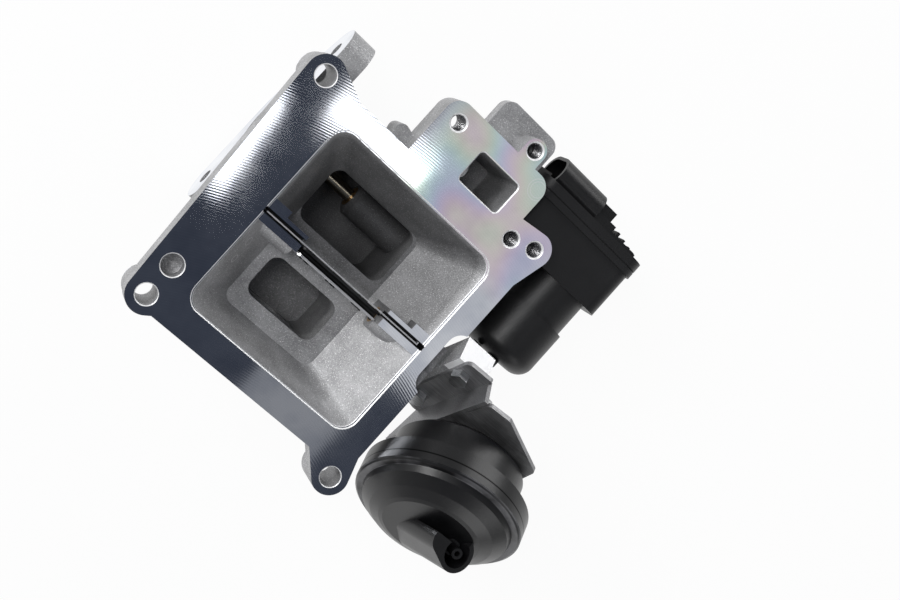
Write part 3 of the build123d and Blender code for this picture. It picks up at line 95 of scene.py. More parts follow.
# ------------------------------------------------------------------------------------------- shader nets
class Net:
    """Short calls that add and link nodes in one tree."""

    NUMBER_MIX = (0, 2, 3)          # inputs of a Mix node for numbers: factor, first and second
    COLOUR_MIX = (0, 6, 7)          # the same for colours
    COLOUR_RESULT = 2

    def __init__(self, tree: bpy.types.NodeTree) -> None:
        """Keep the tree that the nodes go into."""
        self.tree = tree

    def add(self, kind: str, **settings: object) -> bpy.types.Node:
        """Add a node.

        Args:
            kind: Type name of the node.
            settings: Properties to set on it.

        Returns:
            The new node.
        """
        node = self.tree.nodes.new(kind)
        for name, value in settings.items():
            setattr(node, name, value)
        return node

    def feed(self, target: Socket, value: object) -> None:
        """Link a socket into the target, or set the target's own value.

        Args:
            target: Input socket.
            value: Output socket, number, place or colour.
        """
        if isinstance(value, bpy.types.NodeSocket):
            self.tree.links.new(value, target)
        elif target.type == "RGBA":
            target.default_value = (*value, 1.0)
        else:
            target.default_value = value

    def calc(self, operation: str, *values: object, clamp: bool = False) -> Socket:
        """Add a Math node.

        Args:
            operation: Name of the operation.
            values: One to three sockets or numbers.
            clamp: Whether the result stays between 0 and 1.

        Returns:
            The result.
        """
        node = self.add("ShaderNodeMath", operation=operation, use_clamp=clamp)
        for target, value in zip(node.inputs, values):
            self.feed(target, value)
        return node.outputs[0]

    def vector(self, operation: str, *values: object) -> bpy.types.Node:
        """Add a Vector Math node.

        Args:
            operation: Name of the operation.
            values: Sockets or tuples.

        Returns:
            The node, whose outputs are the vector and the value.
        """
        node = self.add("ShaderNodeVectorMath", operation=operation)
        for target, value in zip(node.inputs, values):
            self.feed(target, value)
        return node

    def ramp(self, value: Socket, low: float, high: float) -> Socket:
        """Rise from 0 to 1 over a range, with soft ends.

        Args:
            value: What is mapped.
            low: Where the output is 0.
            high: Where the output is 1.

        Returns:
            The mapped value.
        """
        node = self.add("ShaderNodeMapRange", interpolation_type="SMOOTHSTEP")
        for target, given in zip(node.inputs, (value, low, high, 0.0, 1.0)):
            self.feed(target, given)
        return node.outputs[0]

    def blend(self, factor: object, first: object, second: object) -> Socket:
        """Mix two colours.

        Args:
            factor: Share of the second colour.
            first: Colour or socket.
            second: Colour or socket.

        Returns:
            The mixed colour.
        """
        node = self.add("ShaderNodeMix", data_type="RGBA")
        for index, value in zip(self.COLOUR_MIX, (factor, first, second)):
            self.feed(node.inputs[index], value)
        return node.outputs[self.COLOUR_RESULT]

    def between(self, factor: Socket, first: Socket, second: Socket) -> Socket:
        """Mix two numbers.

        Args:
            factor: Share of the second number.
            first: Number.
            second: Number.

        Returns:
            The mixed number.
        """
        node = self.add("ShaderNodeMix", data_type="FLOAT")
        for index, value in zip(self.NUMBER_MIX, (factor, first, second)):
            self.feed(node.inputs[index], value)
        return node.outputs[0]

    def wave(self, turns: Socket) -> Socket:
        """Swing between 0 and 1 once a turn: 0.5 + 0.5 sin(2 pi turns).

        Args:
            turns: Number of turns.

        Returns:
            The swing.
        """
        angle = self.calc("MULTIPLY", turns, FULL_TURN)
        return self.calc("MULTIPLY_ADD", self.calc("SINE", angle), 0.5, 0.5)

    def noise(self, vector: Socket, scale: object, detail: float = 3.0, rough: float = 0.6) -> Socket:
        """Add a noise texture.

        Args:
            vector: Place it is read at.
            scale: Bumps per metre.
            detail: Octaves.
            rough: Weight of the finer octaves.

        Returns:
            The noise value.
        """
        node = self.add("ShaderNodeTexNoise")
        self.feed(node.inputs["Vector"], vector)
        self.feed(node.inputs["Scale"], scale)
        node.inputs["Detail"].default_value = detail
        node.inputs["Roughness"].default_value = rough
        return node.outputs[0]

    def xyz(self, vector: Socket) -> tuple[Socket, Socket, Socket]:
        """Split a vector.

        Args:
            vector: The vector.

        Returns:
            Its three parts.
        """
        node = self.add("ShaderNodeSeparateXYZ")
        self.feed(node.inputs[0], vector)
        return node.outputs[0], node.outputs[1], node.outputs[2]

    def effect(self, group: bpy.types.NodeTree, **values: object) -> bpy.types.Node:
        """Place a shared effect with its own values.

        Args:
            group: The shader node group.
            values: Inputs by name, with underscores for spaces.

        Returns:
            The group node.
        """
        node = self.add("ShaderNodeGroup")
        node.node_tree = group
        for name, value in values.items():
            self.feed(node.inputs[name.replace("_", " ")], value)
        return node


def new_effect(name: str, inputs: dict[str, str], outputs: dict[str, str]) -> tuple:
    """Start a shader node group with named sockets.

    Args:
        name: Name of the group.
        inputs: Kind of each input, as Float or Vector.
        outputs: Kind of each output.

    Returns:
        The group, its net, its input node and its output node.
    """
    group = bpy.data.node_groups.new(name, "ShaderNodeTree")
    for way, sockets in (("INPUT", inputs), ("OUTPUT", outputs)):
        for label, kind in sockets.items():
            group.interface.new_socket(name=label, in_out=way, socket_type="NodeSocket" + kind)
    net = Net(group)
    return group, net, net.add("NodeGroupInput"), net.add("NodeGroupOutput")


def make_box_mask() -> bpy.types.NodeTree:
    """Effect: 1 inside a box with soft faces.

    The distance outside the box on each axis is |p - centre| - half; the mask falls to 0 over the softness.

    Returns:
        The group.
    """
    group, net, given, out = new_effect(
        "box mask", {"Vector": "Vector", "Centre": "Vector", "Half": "Vector", "Softness": "Float"},
        {"Mask": "Float"})
    offset = net.vector("SUBTRACT", given.outputs["Vector"], given.outputs["Centre"])
    size = net.vector("ABSOLUTE", offset.outputs[0])
    over = net.vector("SUBTRACT", size.outputs[0], given.outputs["Half"])
    x, y, z = net.xyz(over.outputs[0])
    worst = net.calc("MAXIMUM", net.calc("MAXIMUM", x, y), z)
    share = net.calc("DIVIDE", worst, given.outputs["Softness"])
    net.feed(out.inputs["Mask"], net.calc("SUBTRACT", 1.0, share, clamp=True))
    return group


def make_cast_grain() -> bpy.types.NodeTree:
    """Effect: skin of a die casting.

    A coarse noise gives flow marks, a fine one gives the shot-blasted grain, and the peaks of a third one
    give bright specks, which are painted glints.

    Returns:
        The group.
    """
    group, net, given, out = new_effect(
        "cast grain", {"Vector": "Vector", "Scale": "Float", "Speck": "Float"},
        {"Tone": "Float", "Specks": "Float", "Height": "Float"})
    spot = given.outputs["Vector"]
    scale = given.outputs["Scale"]
    coarse_scale, speck_scale = 0.045, 1.7      # times the grain's own scale
    coarse_share, fine_share = 0.55, 0.45
    speck_from, speck_full = 0.60, 0.72
    coarse = net.noise(spot, net.calc("MULTIPLY", scale, coarse_scale))
    fine = net.noise(spot, scale, rough=0.65)
    peaks = net.noise(spot, net.calc("MULTIPLY", scale, speck_scale), detail=1.0, rough=0.5)
    tone = net.calc("ADD", net.calc("MULTIPLY", coarse, coarse_share), net.calc("MULTIPLY", fine, fine_share))
    net.feed(out.inputs["Tone"], tone)
    specks = net.ramp(peaks, speck_from, speck_full)
    net.feed(out.inputs["Specks"], net.calc("MULTIPLY", specks, given.outputs["Speck"]))
    net.feed(out.inputs["Height"], fine)
    return group


def make_milling() -> bpy.types.NodeTree:
    """Effect: arcs that a face cutter leaves.

    With the distance d from the cutter's centre, the lines are 0.5 + 0.5 sin(2 pi (d / pitch + stir)), where
    the stir is a slow noise; their product with the arcs from a second centre is the cross-hatch.

    Returns:
        The group.
    """
    group, net, given, out = new_effect(
        "milling", {"Vector": "Vector", "Centre": "Vector", "Crossing": "Vector", "Pitch": "Float"},
        {"Lines": "Float", "Hatch": "Float"})
    stir_scale, stir_share = 60.0, 0.6
    lines = []
    for name in ("Centre", "Crossing"):
        reach = net.vector("DISTANCE", given.outputs["Vector"], given.outputs[name]).outputs[1]
        turns = net.calc("DIVIDE", reach, given.outputs["Pitch"])
        cloud = net.noise(given.outputs["Vector"], stir_scale, detail=2.0, rough=0.5)
        lines.append(net.wave(net.calc("ADD", turns, net.calc("MULTIPLY", cloud, stir_share))))
    net.feed(out.inputs["Lines"], lines[0])
    net.feed(out.inputs["Hatch"], net.calc("MULTIPLY", lines[0], lines[1]))
    return group


def make_brushing() -> bpy.types.NodeTree:
    """Effect: fine lines of brushed or rolled metal.

    Noise read at a place whose parts are stretched by the Stretch vector, so it smears into lines.

    Returns:
        The group.
    """
    group, net, given, out = new_effect(
        "brushing", {"Vector": "Vector", "Stretch": "Vector", "Scale": "Float"},
        {"Lines": "Float", "Blotch": "Float"})
    blotch_scale = 70.0
    spot = net.vector("MULTIPLY", given.outputs["Vector"], given.outputs["Stretch"]).outputs[0]
    net.feed(out.inputs["Lines"], net.noise(spot, given.outputs["Scale"]))
    net.feed(out.inputs["Blotch"], net.noise(given.outputs["Vector"], blotch_scale))
    return group


def make_ring() -> bpy.types.NodeTree:
    """Effect: thin ring where a sphere round the centre cuts the surface.

    The mask is 1 - |d - radius| / width, kept over 0, with d the distance from the centre.

    Returns:
        The group.
    """
    group, net, given, out = new_effect(
        "ring mark", {"Vector": "Vector", "Centre": "Vector", "Radius": "Float", "Width": "Float"},
        {"Mask": "Float"})
    reach = net.vector("DISTANCE", given.outputs["Vector"], given.outputs["Centre"]).outputs[1]
    off = net.calc("ABSOLUTE", net.calc("SUBTRACT", reach, given.outputs["Radius"]))
    share = net.calc("DIVIDE", off, given.outputs["Width"])
    net.feed(out.inputs["Mask"], net.calc("SUBTRACT", 1.0, share, clamp=True))
    return group


def make_painted_sheen() -> bpy.types.NodeTree:
    """Effect: painted iridescent sheen that tints a milled face.

    The sheen's phase t is a noise; each of red, green and blue is 0.5 + 0.5 sin(2 pi (t + its phase)),
    blended with a pale grey.

    Returns:
        The group.
    """
    group, net, given, out = new_effect(
        "painted sheen", {"Vector": "Vector", "Scale": "Float"}, {"Colour": "Color"})
    waves, phases = 3.2, (0.0, 0.30, 0.62)
    pale, tint_share = (0.80, 0.82, 0.86), 0.40
    cloud = net.noise(given.outputs["Vector"], given.outputs["Scale"], detail=1.0, rough=0.4)
    sheen_turns = net.calc("MULTIPLY", cloud, waves)
    parts = net.add("ShaderNodeCombineColor")
    for target, phase in zip(parts.inputs, phases):
        net.feed(target, net.wave(net.calc("ADD", sheen_turns, phase)))
    net.feed(out.inputs["Colour"], net.blend(tint_share, pale, parts.outputs[0]))
    return group


class Effects:
    """Shared effects, each built once."""

    def __init__(self) -> None:
        """Build the groups."""
        self.box = make_box_mask()
        self.cast = make_cast_grain()
        self.milling = make_milling()
        self.brushing = make_brushing()
        self.sheen = make_painted_sheen()
        self.ring = make_ring()


EFFECTS = Effects()


class Skin:
    """A new material with its Principled shader and the net that feeds it."""

    def __init__(self, name: str, metallic: float, roughness: float) -> None:
        """Make the material.

        Args:
            name: Name of the material.
            metallic: Metallic value.
            roughness: Roughness when nothing feeds it.
        """
        self.material = bpy.data.materials.new(name)
        self.material.use_nodes = True
        self.net = Net(self.material.node_tree)
        self.shader = next(n for n in self.net.tree.nodes if n.type == "BSDF_PRINCIPLED")
        self.shader.inputs["Metallic"].default_value = metallic
        self.shader.inputs["Roughness"].default_value = roughness
        place = self.net.add("ShaderNodeTexCoord")
        self.spot: Socket = place.outputs["Object"]
        self.facing: Socket = place.outputs["Normal"]

    def put(self, name: str, value: object) -> None:
        """Feed one input of the Principled shader.

        Args:
            name: Name of the input.
            value: Socket, number or colour.
        """
        self.net.feed(self.shader.inputs[name], value)

    def bump(self, height: Socket, depth: float, strength: float = 0.5) -> None:
        """Feed the shader's normal from a height.

        Args:
            height: Height between 0 and 1.
            depth: Metres that a height of 1 stands for.
            strength: Share of the effect.
        """
        node = self.net.add("ShaderNodeBump")
        node.inputs["Strength"].default_value = strength
        node.inputs["Distance"].default_value = depth
        self.net.feed(node.inputs["Height"], height)
        self.net.feed(self.shader.inputs["Normal"], node.outputs[0])


# ------------------------------------------------------------------------------------------- finishes
@dataclass(frozen=True)
class Casting:
    """Die-cast aluminium with machined faces and the marks that its making leaves, with painted shade in its
    groove and deep hollows, painted highlights on its bevels, painted glints in its grain and a painted sheen
    on the window's pad.

    Centres are millimetres from the chamber's centre. Half sizes, heights, the cutter's pitch and softness
    are metres.
    """

    name: str = "die casting"
    dark: Colour = (0.26, 0.26, 0.265)
    light: Colour = (0.50, 0.50, 0.51)
    # pale colour of the painted glints that speck the cast grain
    glint_speck: Colour = (0.95, 0.95, 0.96)
    machined_dark: Colour = (0.66, 0.69, 0.76)
    machined_light: Colour = (0.90, 0.92, 0.96)
    # pale colour of the ring marks of the cutter and the pins, and of the painted highlight on the bevels
    edge: Colour = (0.97, 0.97, 0.98)
    # painted shade: near-black for the groove, the passage and the deep floors
    painted_shade: Colour = (0.015, 0.015, 0.016)
    # the cast skin
    grain_scale: float = 1500.0
    speck_share: float = 0.8
    tone_range: tuple[float, float] = (0.30, 0.72)
    rough_cast: float = 0.46
    grain_rough: float = 0.12
    metal_cast: float = 0.55
    depth: float = 0.00022
    bump_strength: float = 0.55
    # the cut faces
    rough_cut: float = 0.035
    cloud_rough: float = 0.05
    cloud_scale: float = 38.0
    cloud_range: tuple[float, float] = (0.3, 0.7)
    line_share: float = 0.12
    line_height: float = 0.02
    cutter: tuple[float, float] = (10, -160)
    crossing: tuple[float, float] = (180, 30)
    pitch: float = 0.0011
    square_on: float = 0.95         # least part of the normal that makes a face look along an axis
    top_above: float = -0.00125
    inlet_below: float = -0.0026
    outlet_below: float = -0.0152
    side_below: float = -0.02
    # where the painted highlight on the bevels goes
    bevel_above: float = -0.0008
    bevel_lean: float = 0.25
    # painted sheen: the iridescent tint on the window's pad
    sheen_centre: tuple[float, float] = (24.0, 72.0)
    sheen_half: Place = (0.031, 0.026, 0.01)
    sheen_soft: float = 0.012
    sheen_scale: float = 26.0
    sheen_share: float = 0.40
    # painted shade in the groove, the passage beside the valve and the deep floors
    groove_centre: Place = (0.0, 1.3, -3.6)
    groove_half: Place = (0.0475, 0.0013, 0.0032)
    groove_soft: float = 0.0002
    passage_centre: Place = (0.0, 25.0, -34.0)
    passage_half: Place = (0.046, 0.0215, 0.030)
    passage_soft: float = 0.003
    passage_shade_share: float = 0.52
    floor_centre: Place = (0.0, 0.0, -50.0)
    floor_half: Place = (0.040, 0.043, 0.014)
    floor_soft: float = 0.005
    floor_shade_share: float = 0.45
    # rings of the cutter and of the ejector pins: x, y, z and radius, millimetres
    rings: tuple[tuple[float, float, float, float], ...] = (
        (35.9, 82.8, 0.0, 4.6), (35.9, 82.8, 0.0, 3.4), (-58.5, -4.5, 0.0, 1.7),
        (-39.0, -13.0, -9.0, 2.0), (-37.5, -22.0, -9.0, 2.0))
    ring_width: float = 0.28 * MM
    ring_share: float = 0.6

    def build(self) -> bpy.types.Material:
        """Build the material.

        Returns:
            The material.
        """
        skin = Skin(self.name, 1.0, self.rough_cast)
        net = skin.net
        cut = self.machined_mask(skin)
        grain = net.effect(EFFECTS.cast, Vector=skin.spot, Scale=self.grain_scale, Speck=self.speck_share)
        mill = net.effect(EFFECTS.milling, Vector=skin.spot, Centre=near_chamber(*self.cutter),
                          Crossing=near_chamber(*self.crossing), Pitch=self.pitch)
        cloud = net.noise(skin.spot, self.cloud_scale)
        cast = net.blend(net.ramp(grain.outputs["Tone"], *self.tone_range), self.dark, self.light)
        # painted glints: bright specks over the cast grain
        cast = net.blend(grain.outputs["Specks"], cast, self.glint_speck)
        whole = net.blend(cut, self.paint_deep_shade(skin, cast), self.machined(skin, mill, cloud))
        whole = net.blend(self.marks(skin), whole, self.edge)
        # painted highlight: the bevels round the flange face turn near-white
        whole = net.blend(self.bevel_highlight_mask(skin), whole, self.edge)
        # painted shade: the groove turns near-black
        groove = net.effect(EFFECTS.box, Vector=skin.spot, Centre=near_chamber(*self.groove_centre),
                            Half=self.groove_half, Softness=self.groove_soft)
        skin.put("Base Color", net.blend(groove.outputs["Mask"], whole, self.painted_shade))
        cut_rough = net.calc("ADD", self.rough_cut, net.calc("MULTIPLY", cloud, self.cloud_rough))
        spread = net.calc("MULTIPLY", grain.outputs["Tone"], self.grain_rough)
        cast_rough = net.calc("ADD", self.rough_cast, spread)
        skin.put("Roughness", net.between(cut, cast_rough, cut_rough))
        skin.put("Metallic", net.calc("MULTIPLY_ADD", cut, 1.0 - self.metal_cast, self.metal_cast))
        coarse = net.calc("MULTIPLY", grain.outputs["Height"], net.calc("SUBTRACT", 1.0, cut))
        lines = net.calc("MULTIPLY", net.calc("MULTIPLY", mill.outputs["Lines"], self.line_height), cut)
        skin.bump(net.calc("ADD", coarse, lines), self.depth, self.bump_strength)
        return skin.material

    def machined(self, skin: Skin, mill: bpy.types.Node, cloud: Socket) -> Socket:
        """Colour of the cut faces: clouds and cutter lines, with a painted iridescent sheen over the window's
        pad.

        Args:
            skin: The material under way.
            mill: Node of the cutter's arcs.
            cloud: Slow noise.

        Returns:
            The colour.
        """
        net = skin.net
        lines = net.calc("MULTIPLY", mill.outputs["Lines"], self.line_share)
        shine = net.calc("ADD", lines, net.ramp(cloud, *self.cloud_range))
        pad = net.effect(EFFECTS.box, Vector=skin.spot, Centre=near_chamber(*self.sheen_centre),
                         Half=self.sheen_half, Softness=self.sheen_soft)
        # painted sheen: an iridescent tint over the window's pad
        tint = net.effect(EFFECTS.sheen, Vector=skin.spot, Scale=self.sheen_scale)
        bare = net.blend(shine, self.machined_dark, self.machined_light)
        share = net.calc("MULTIPLY", pad.outputs["Mask"], self.sheen_share)
        return net.blend(share, bare, tint.outputs["Colour"])

    def paint_deep_shade(self, skin: Skin, cast: Socket) -> Socket:
        """Paint shade into the passage beside the valve and onto the deep floors of the chamber, darkening
        them towards near-black.

        Args:
            skin: The material under way.
            cast: Colour of the clean casting.

        Returns:
            The darkened colour.
        """
        net = skin.net
        passage = net.effect(EFFECTS.box, Vector=skin.spot, Centre=near_chamber(*self.passage_centre),
                             Half=self.passage_half, Softness=self.passage_soft)
        floors = net.effect(EFFECTS.box, Vector=skin.spot, Centre=near_chamber(*self.floor_centre),
                            Half=self.floor_half, Softness=self.floor_soft)
        # painted shade: the passage and the deep floors darken towards near-black
        passage_share = net.calc("MULTIPLY", passage.outputs["Mask"], self.passage_shade_share)
        floor_share = net.calc("MULTIPLY", floors.outputs["Mask"], self.floor_shade_share)
        return net.blend(floor_share, net.blend(passage_share, cast, self.painted_shade), self.painted_shade)

    def marks(self, skin: Skin) -> Socket:
        """Rings that a cutter and the ejector pins leave.

        Args:
            skin: The material under way.

        Returns:
            The mask.
        """
        total: object = 0.0
        for x, y, z, radius in self.rings:
            ring = skin.net.effect(EFFECTS.ring, Vector=skin.spot, Centre=near_chamber(x, y, z),
                                   Radius=radius * MM, Width=self.ring_width)
            total = skin.net.calc("MAXIMUM", total, ring.outputs["Mask"])
        return skin.net.calc("MULTIPLY", total, self.ring_share)

    def bevel_highlight_mask(self, skin: Skin) -> Socket:
        """Mask of the painted highlight on the bevels that ring the flange face: just under it, and leaning.

        Args:
            skin: The material under way.

        Returns:
            The mask.
        """
        net = skin.net
        height = net.xyz(skin.spot)[2]
        lean = net.xyz(skin.facing)[2]
        near = net.calc("MULTIPLY", net.calc("GREATER_THAN", height, self.bevel_above),
                        net.calc("GREATER_THAN", lean, self.bevel_lean))
        return net.calc("MULTIPLY", near, net.calc("LESS_THAN", lean, self.square_on))

    def machined_mask(self, skin: Skin) -> Socket:
        """Mask of the machined faces: each is a height along an axis and a direction that it faces.

        Args:
            skin: The material under way.

        Returns:
            The mask.
        """
        net = skin.net
        x, y, z = net.xyz(skin.spot)
        nx, ny, nz = net.xyz(skin.facing)
        top = net.calc("MULTIPLY", net.calc("GREATER_THAN", z, self.top_above),
                       net.calc("GREATER_THAN", nz, self.square_on))
        inlet = net.calc("MULTIPLY", net.calc("LESS_THAN", x, self.inlet_below),
                         net.calc("LESS_THAN", nx, -self.square_on))
        outlet = net.calc("MULTIPLY", net.calc("LESS_THAN", y, self.outlet_below),
                          net.calc("LESS_THAN", ny, -self.square_on))
        low = net.calc("LESS_THAN", z, self.side_below)
        return net.calc("MAXIMUM", top, net.calc("MULTIPLY", net.calc("MAXIMUM", inlet, outlet), low))


@dataclass(frozen=True)
class Moulding:
    """Moulded plastic, rubber or lacquer."""

    name: str
    low: Colour = (0.004, 0.004, 0.0045)
    high: Colour = (0.011, 0.011, 0.012)
    roughness: float = 0.42
    rough_drop: float = 0.08
    rough_spread: float = 0.16
    grain: float = 1400.0
    cloud_scale: float = 45.0
    depth: float = 0.00008

    def build(self) -> bpy.types.Material:
        """Build the material.

        Returns:
            The material.
        """
        skin = Skin(self.name, 0.0, self.roughness)
        net = skin.net
        cloud = net.noise(skin.spot, self.cloud_scale)
        self.paint(skin, cloud)
        rough = net.calc("MULTIPLY_ADD", cloud, self.rough_spread, self.roughness - self.rough_drop)
        skin.put("Roughness", rough)
        skin.bump(net.noise(skin.spot, self.grain, detail=2.0, rough=0.5), self.depth)
        return skin.material

    def paint(self, skin: Skin, cloud: Socket) -> None:
        """Feed the colour.

        Args:
            skin: The material under way.
            cloud: Slow noise.
        """
        skin.put("Base Color", skin.net.blend(cloud, self.low, self.high))


@dataclass(frozen=True)
class CanLacquer(Moulding):
    """Black lacquer of the vacuum can, with the crimp's seam and painted highlights along its edges; lengths
    in millimetres.
    """

    seam: float = 2.6
    edges: tuple[float, ...] = (6.4, 7.3)
    rim_from: float = 30.5
    # painted highlight: pale lacquer along the crimp's edges
    edge_highlight: Colour = (0.16, 0.16, 0.17)
    edge_highlight_range: tuple[float, float] = (0.35, 0.6)
    edge_half: float = 0.35
    seam_half: float = 0.56
    specular: float = 0.5

    def paint(self, skin: Skin, cloud: Socket) -> None:
        """Feed the colour and the shine.

        With s the height along the can's axis, s = (y0 - y) cos(tilt) + (z - z0) sin(tilt), the seam is
        black where |s - seam| is small, and a painted highlight is pale where |s - edge| is small. Both stay
        on the rim, whose distance from the axis is over rim_from.

        Args:
            skin: The material under way.
            cloud: Slow noise.
        """
        net = skin.net
        seat = tuple((CAN_SEAT + CHAMBER) * MM)
        from_seat = net.vector("SUBTRACT", skin.spot, seat).outputs[0]
        rise = net.vector("DOT_PRODUCT", from_seat, CAN_AXIS).outputs[1]
        reach = net.vector("LENGTH", net.vector("CROSS_PRODUCT", from_seat, CAN_AXIS).outputs[0]).outputs[1]
        rim = net.calc("GREATER_THAN", reach, self.rim_from * MM)
        seam = net.calc("MULTIPLY", self.line(net, rise, self.seam, self.seam_half), rim)
        # painted highlight along the crimp's edges, broken up by the cloud
        painted_highlight: object = 0.0
        for edge in self.edges:
            painted_highlight = net.calc("MAXIMUM", painted_highlight, self.line(net, rise, edge, self.edge_half))
        painted_highlight = net.calc("MULTIPLY", net.calc("MULTIPLY", painted_highlight, rim), net.ramp(cloud, *self.edge_highlight_range))
        colour = net.blend(painted_highlight, net.blend(cloud, self.low, self.high), self.edge_highlight)
        skin.put("Base Color", net.blend(seam, colour, BLACK))
        skin.put("Specular IOR Level", net.calc("MULTIPLY", net.calc("SUBTRACT", 1.0, seam), self.specular))

    def line(self, net: Net, rise: Socket, level: float, half: float) -> Socket:
        """Mask of a thin line round the can.

        Args:
            net: Net of the material.
            rise: Height along the can's axis, metres.
            level: Height of the line, millimetres.
            half: Half of its width, millimetres.

        Returns:
            The mask.
        """
        off = net.calc("ABSOLUTE", net.calc("SUBTRACT", rise, level * MM))
        return net.calc("SUBTRACT", 1.0, net.calc("DIVIDE", off, half * MM), clamp=True)


@dataclass(frozen=True)
class WorkedMetal:
    """Rolled, ground or plated metal with fine lines one way.

    The rim share paints a highlight on the faces that don't look along Y, turning them towards a pale colour.
    """

    name: str
    low: Colour = (0.40, 0.41, 0.42)
    high: Colour = (0.72, 0.73, 0.75)
    roughness: float = 0.30
    rough_drop: float = 0.1
    rough_spread: float = 0.2
    stretch: Place = (0.06, 1.0, 1.0)
    scale: float = 1800.0
    line_share: float = 0.6
    blotch_share: float = 0.4
    tone_range: tuple[float, float] = (0.3, 0.7)
    depth: float = 0.00004
    # painted highlight: share of the pale colour on the faces that don't look along Y
    rim: float = 0.0
    rim_highlight_colour: Colour = (0.95, 0.95, 0.96)
    rim_below: float = 0.5

    def build(self) -> bpy.types.Material:
        """Build the material.

        Returns:
            The material.
        """
        skin = Skin(self.name, 1.0, self.roughness)
        net = skin.net
        brush = net.effect(EFFECTS.brushing, Vector=skin.spot, Stretch=self.stretch, Scale=self.scale)
        lines, blotch = brush.outputs["Lines"], brush.outputs["Blotch"]
        tone = net.calc("ADD", net.calc("MULTIPLY", lines, self.line_share),
                        net.calc("MULTIPLY", blotch, self.blotch_share))
        colour = net.blend(net.ramp(tone, *self.tone_range), self.low, self.high)
        # painted highlight on the faces that don't look along Y
        across = net.calc("ABSOLUTE", net.xyz(skin.facing)[1])
        rim = net.calc("MULTIPLY", net.calc("LESS_THAN", across, self.rim_below), self.rim)
        skin.put("Base Color", net.blend(rim, colour, self.rim_highlight_colour))
        rough = net.calc("MULTIPLY_ADD", blotch, self.rough_spread, self.roughness - self.rough_drop)
        skin.put("Roughness", rough)
        skin.bump(lines, self.depth)
        return skin.material


class Finish(Enum):
    """Every finish of the valve."""

    CASTING = Casting()
    GEARBOX = Moulding("gearbox plastic")
    CAN = CanLacquer("can lacquer", roughness=0.33, low=(0.003, 0.003, 0.0035), high=(0.009, 0.009, 0.010))
    ZINC = WorkedMetal("zinc plate", low=(0.44, 0.45, 0.46), high=(0.76, 0.77, 0.78))
    BRACKET = WorkedMetal("galvanised sheet", low=(0.22, 0.22, 0.225), high=(0.42, 0.42, 0.43),
                          roughness=0.50)
    BRIGHT = WorkedMetal("bright steel", low=(0.45, 0.45, 0.46), high=(0.70, 0.70, 0.71), roughness=0.25)
    # the divider strip and the front leaf carry a painted highlight on their edges
    SHEET = WorkedMetal("stainless sheet", low=(0.05, 0.05, 0.052), high=(0.12, 0.12, 0.125),
                        stretch=(0.05, 1.0, 1.0), rim=0.85)
    SOOTED = WorkedMetal("sooted sheet", low=(0.02, 0.02, 0.021), high=(0.06, 0.06, 0.062), roughness=0.45)
    HOT = WorkedMetal("heat-tinted steel", low=(0.42, 0.36, 0.26), high=(0.80, 0.74, 0.60), roughness=0.22,
                      stretch=(0.05, 1.0, 1.0))
    BRONZE = WorkedMetal("sintered bronze", low=(0.35, 0.22, 0.10), high=(0.62, 0.42, 0.22), roughness=0.4)
    RUBBER = Moulding("rubber", roughness=0.7)
    GEAR = Moulding("gear plastic", low=(0.55, 0.53, 0.46), high=(0.68, 0.66, 0.60), roughness=0.45)
    BOARD = Moulding("circuit board", low=(0.01, 0.09, 0.04), high=(0.02, 0.14, 0.06), roughness=0.4)


NODE_FINISH: dict[Finish, tuple[str, ...]] = {
    Finish.CASTING: ("valve_housing", "bolt_lobes", "dowel_boss", "tapped_bosses", "window_pocket",
                     "inlet_flange", "valve_room", "outlet_duct", "return_passage", "drive_case"),
    Finish.GEARBOX: ("gearbox_housing", "gearbox_cover", "motor_cap"),
    Finish.CAN: ("can_body", "can_cover", "vacuum_nipple"),
    Finish.BRACKET: ("can_bracket",),
    Finish.ZINC: ("bracket_screws", "can_nuts", "drive_case_screws", "gearbox_screws", "flap_lever",
                  "lever_nut", "lever_pin", "actuator_rod", "rod_end", "diaphragm_plate", "motor_can",
                  "coolant_spigot"),
    Finish.BRIGHT: ("valve_seat_ring", "output_shaft", "rotor_shaft", "rotor_core", "intermediate_pin",
                    "diaphragm_spring", "valve_return_spring", "stem_rack", "spring_retainer", "motor_pinion",
                    "output_pinion", "motor_magnets", "sensor_magnet"),
    Finish.SHEET: ("divider_strip", "flap_leaf_front"),
    Finish.SOOTED: ("flap_leaf_rear", "flap_rivets", "flap_shaft"),
    Finish.HOT: ("valve_poppet",),
    Finish.BRONZE: ("stem_guide_bush", "flap_bushes", "output_bushes", "motor_bearings",
                    "connector_terminals"),
    Finish.RUBBER: ("stem_seal", "gearbox_gasket", "diaphragm"),
    Finish.GEAR: ("output_gear", "intermediate_gear"),
    Finish.BOARD: ("sensor_board",),
}


def dress_nodes(built: dict[Finish, bpy.types.Material]) -> None:
    """Give every CAD node its finish.

    Args:
        built: Material of each finish.
    """
    for finish, names in NODE_FINISH.items():
        for name in names:
            mesh = frame["nodes"][name].data
            mesh.materials.clear()
            mesh.materials.append(built[finish])
            LOG.info("%s wears %s", name, finish.name)


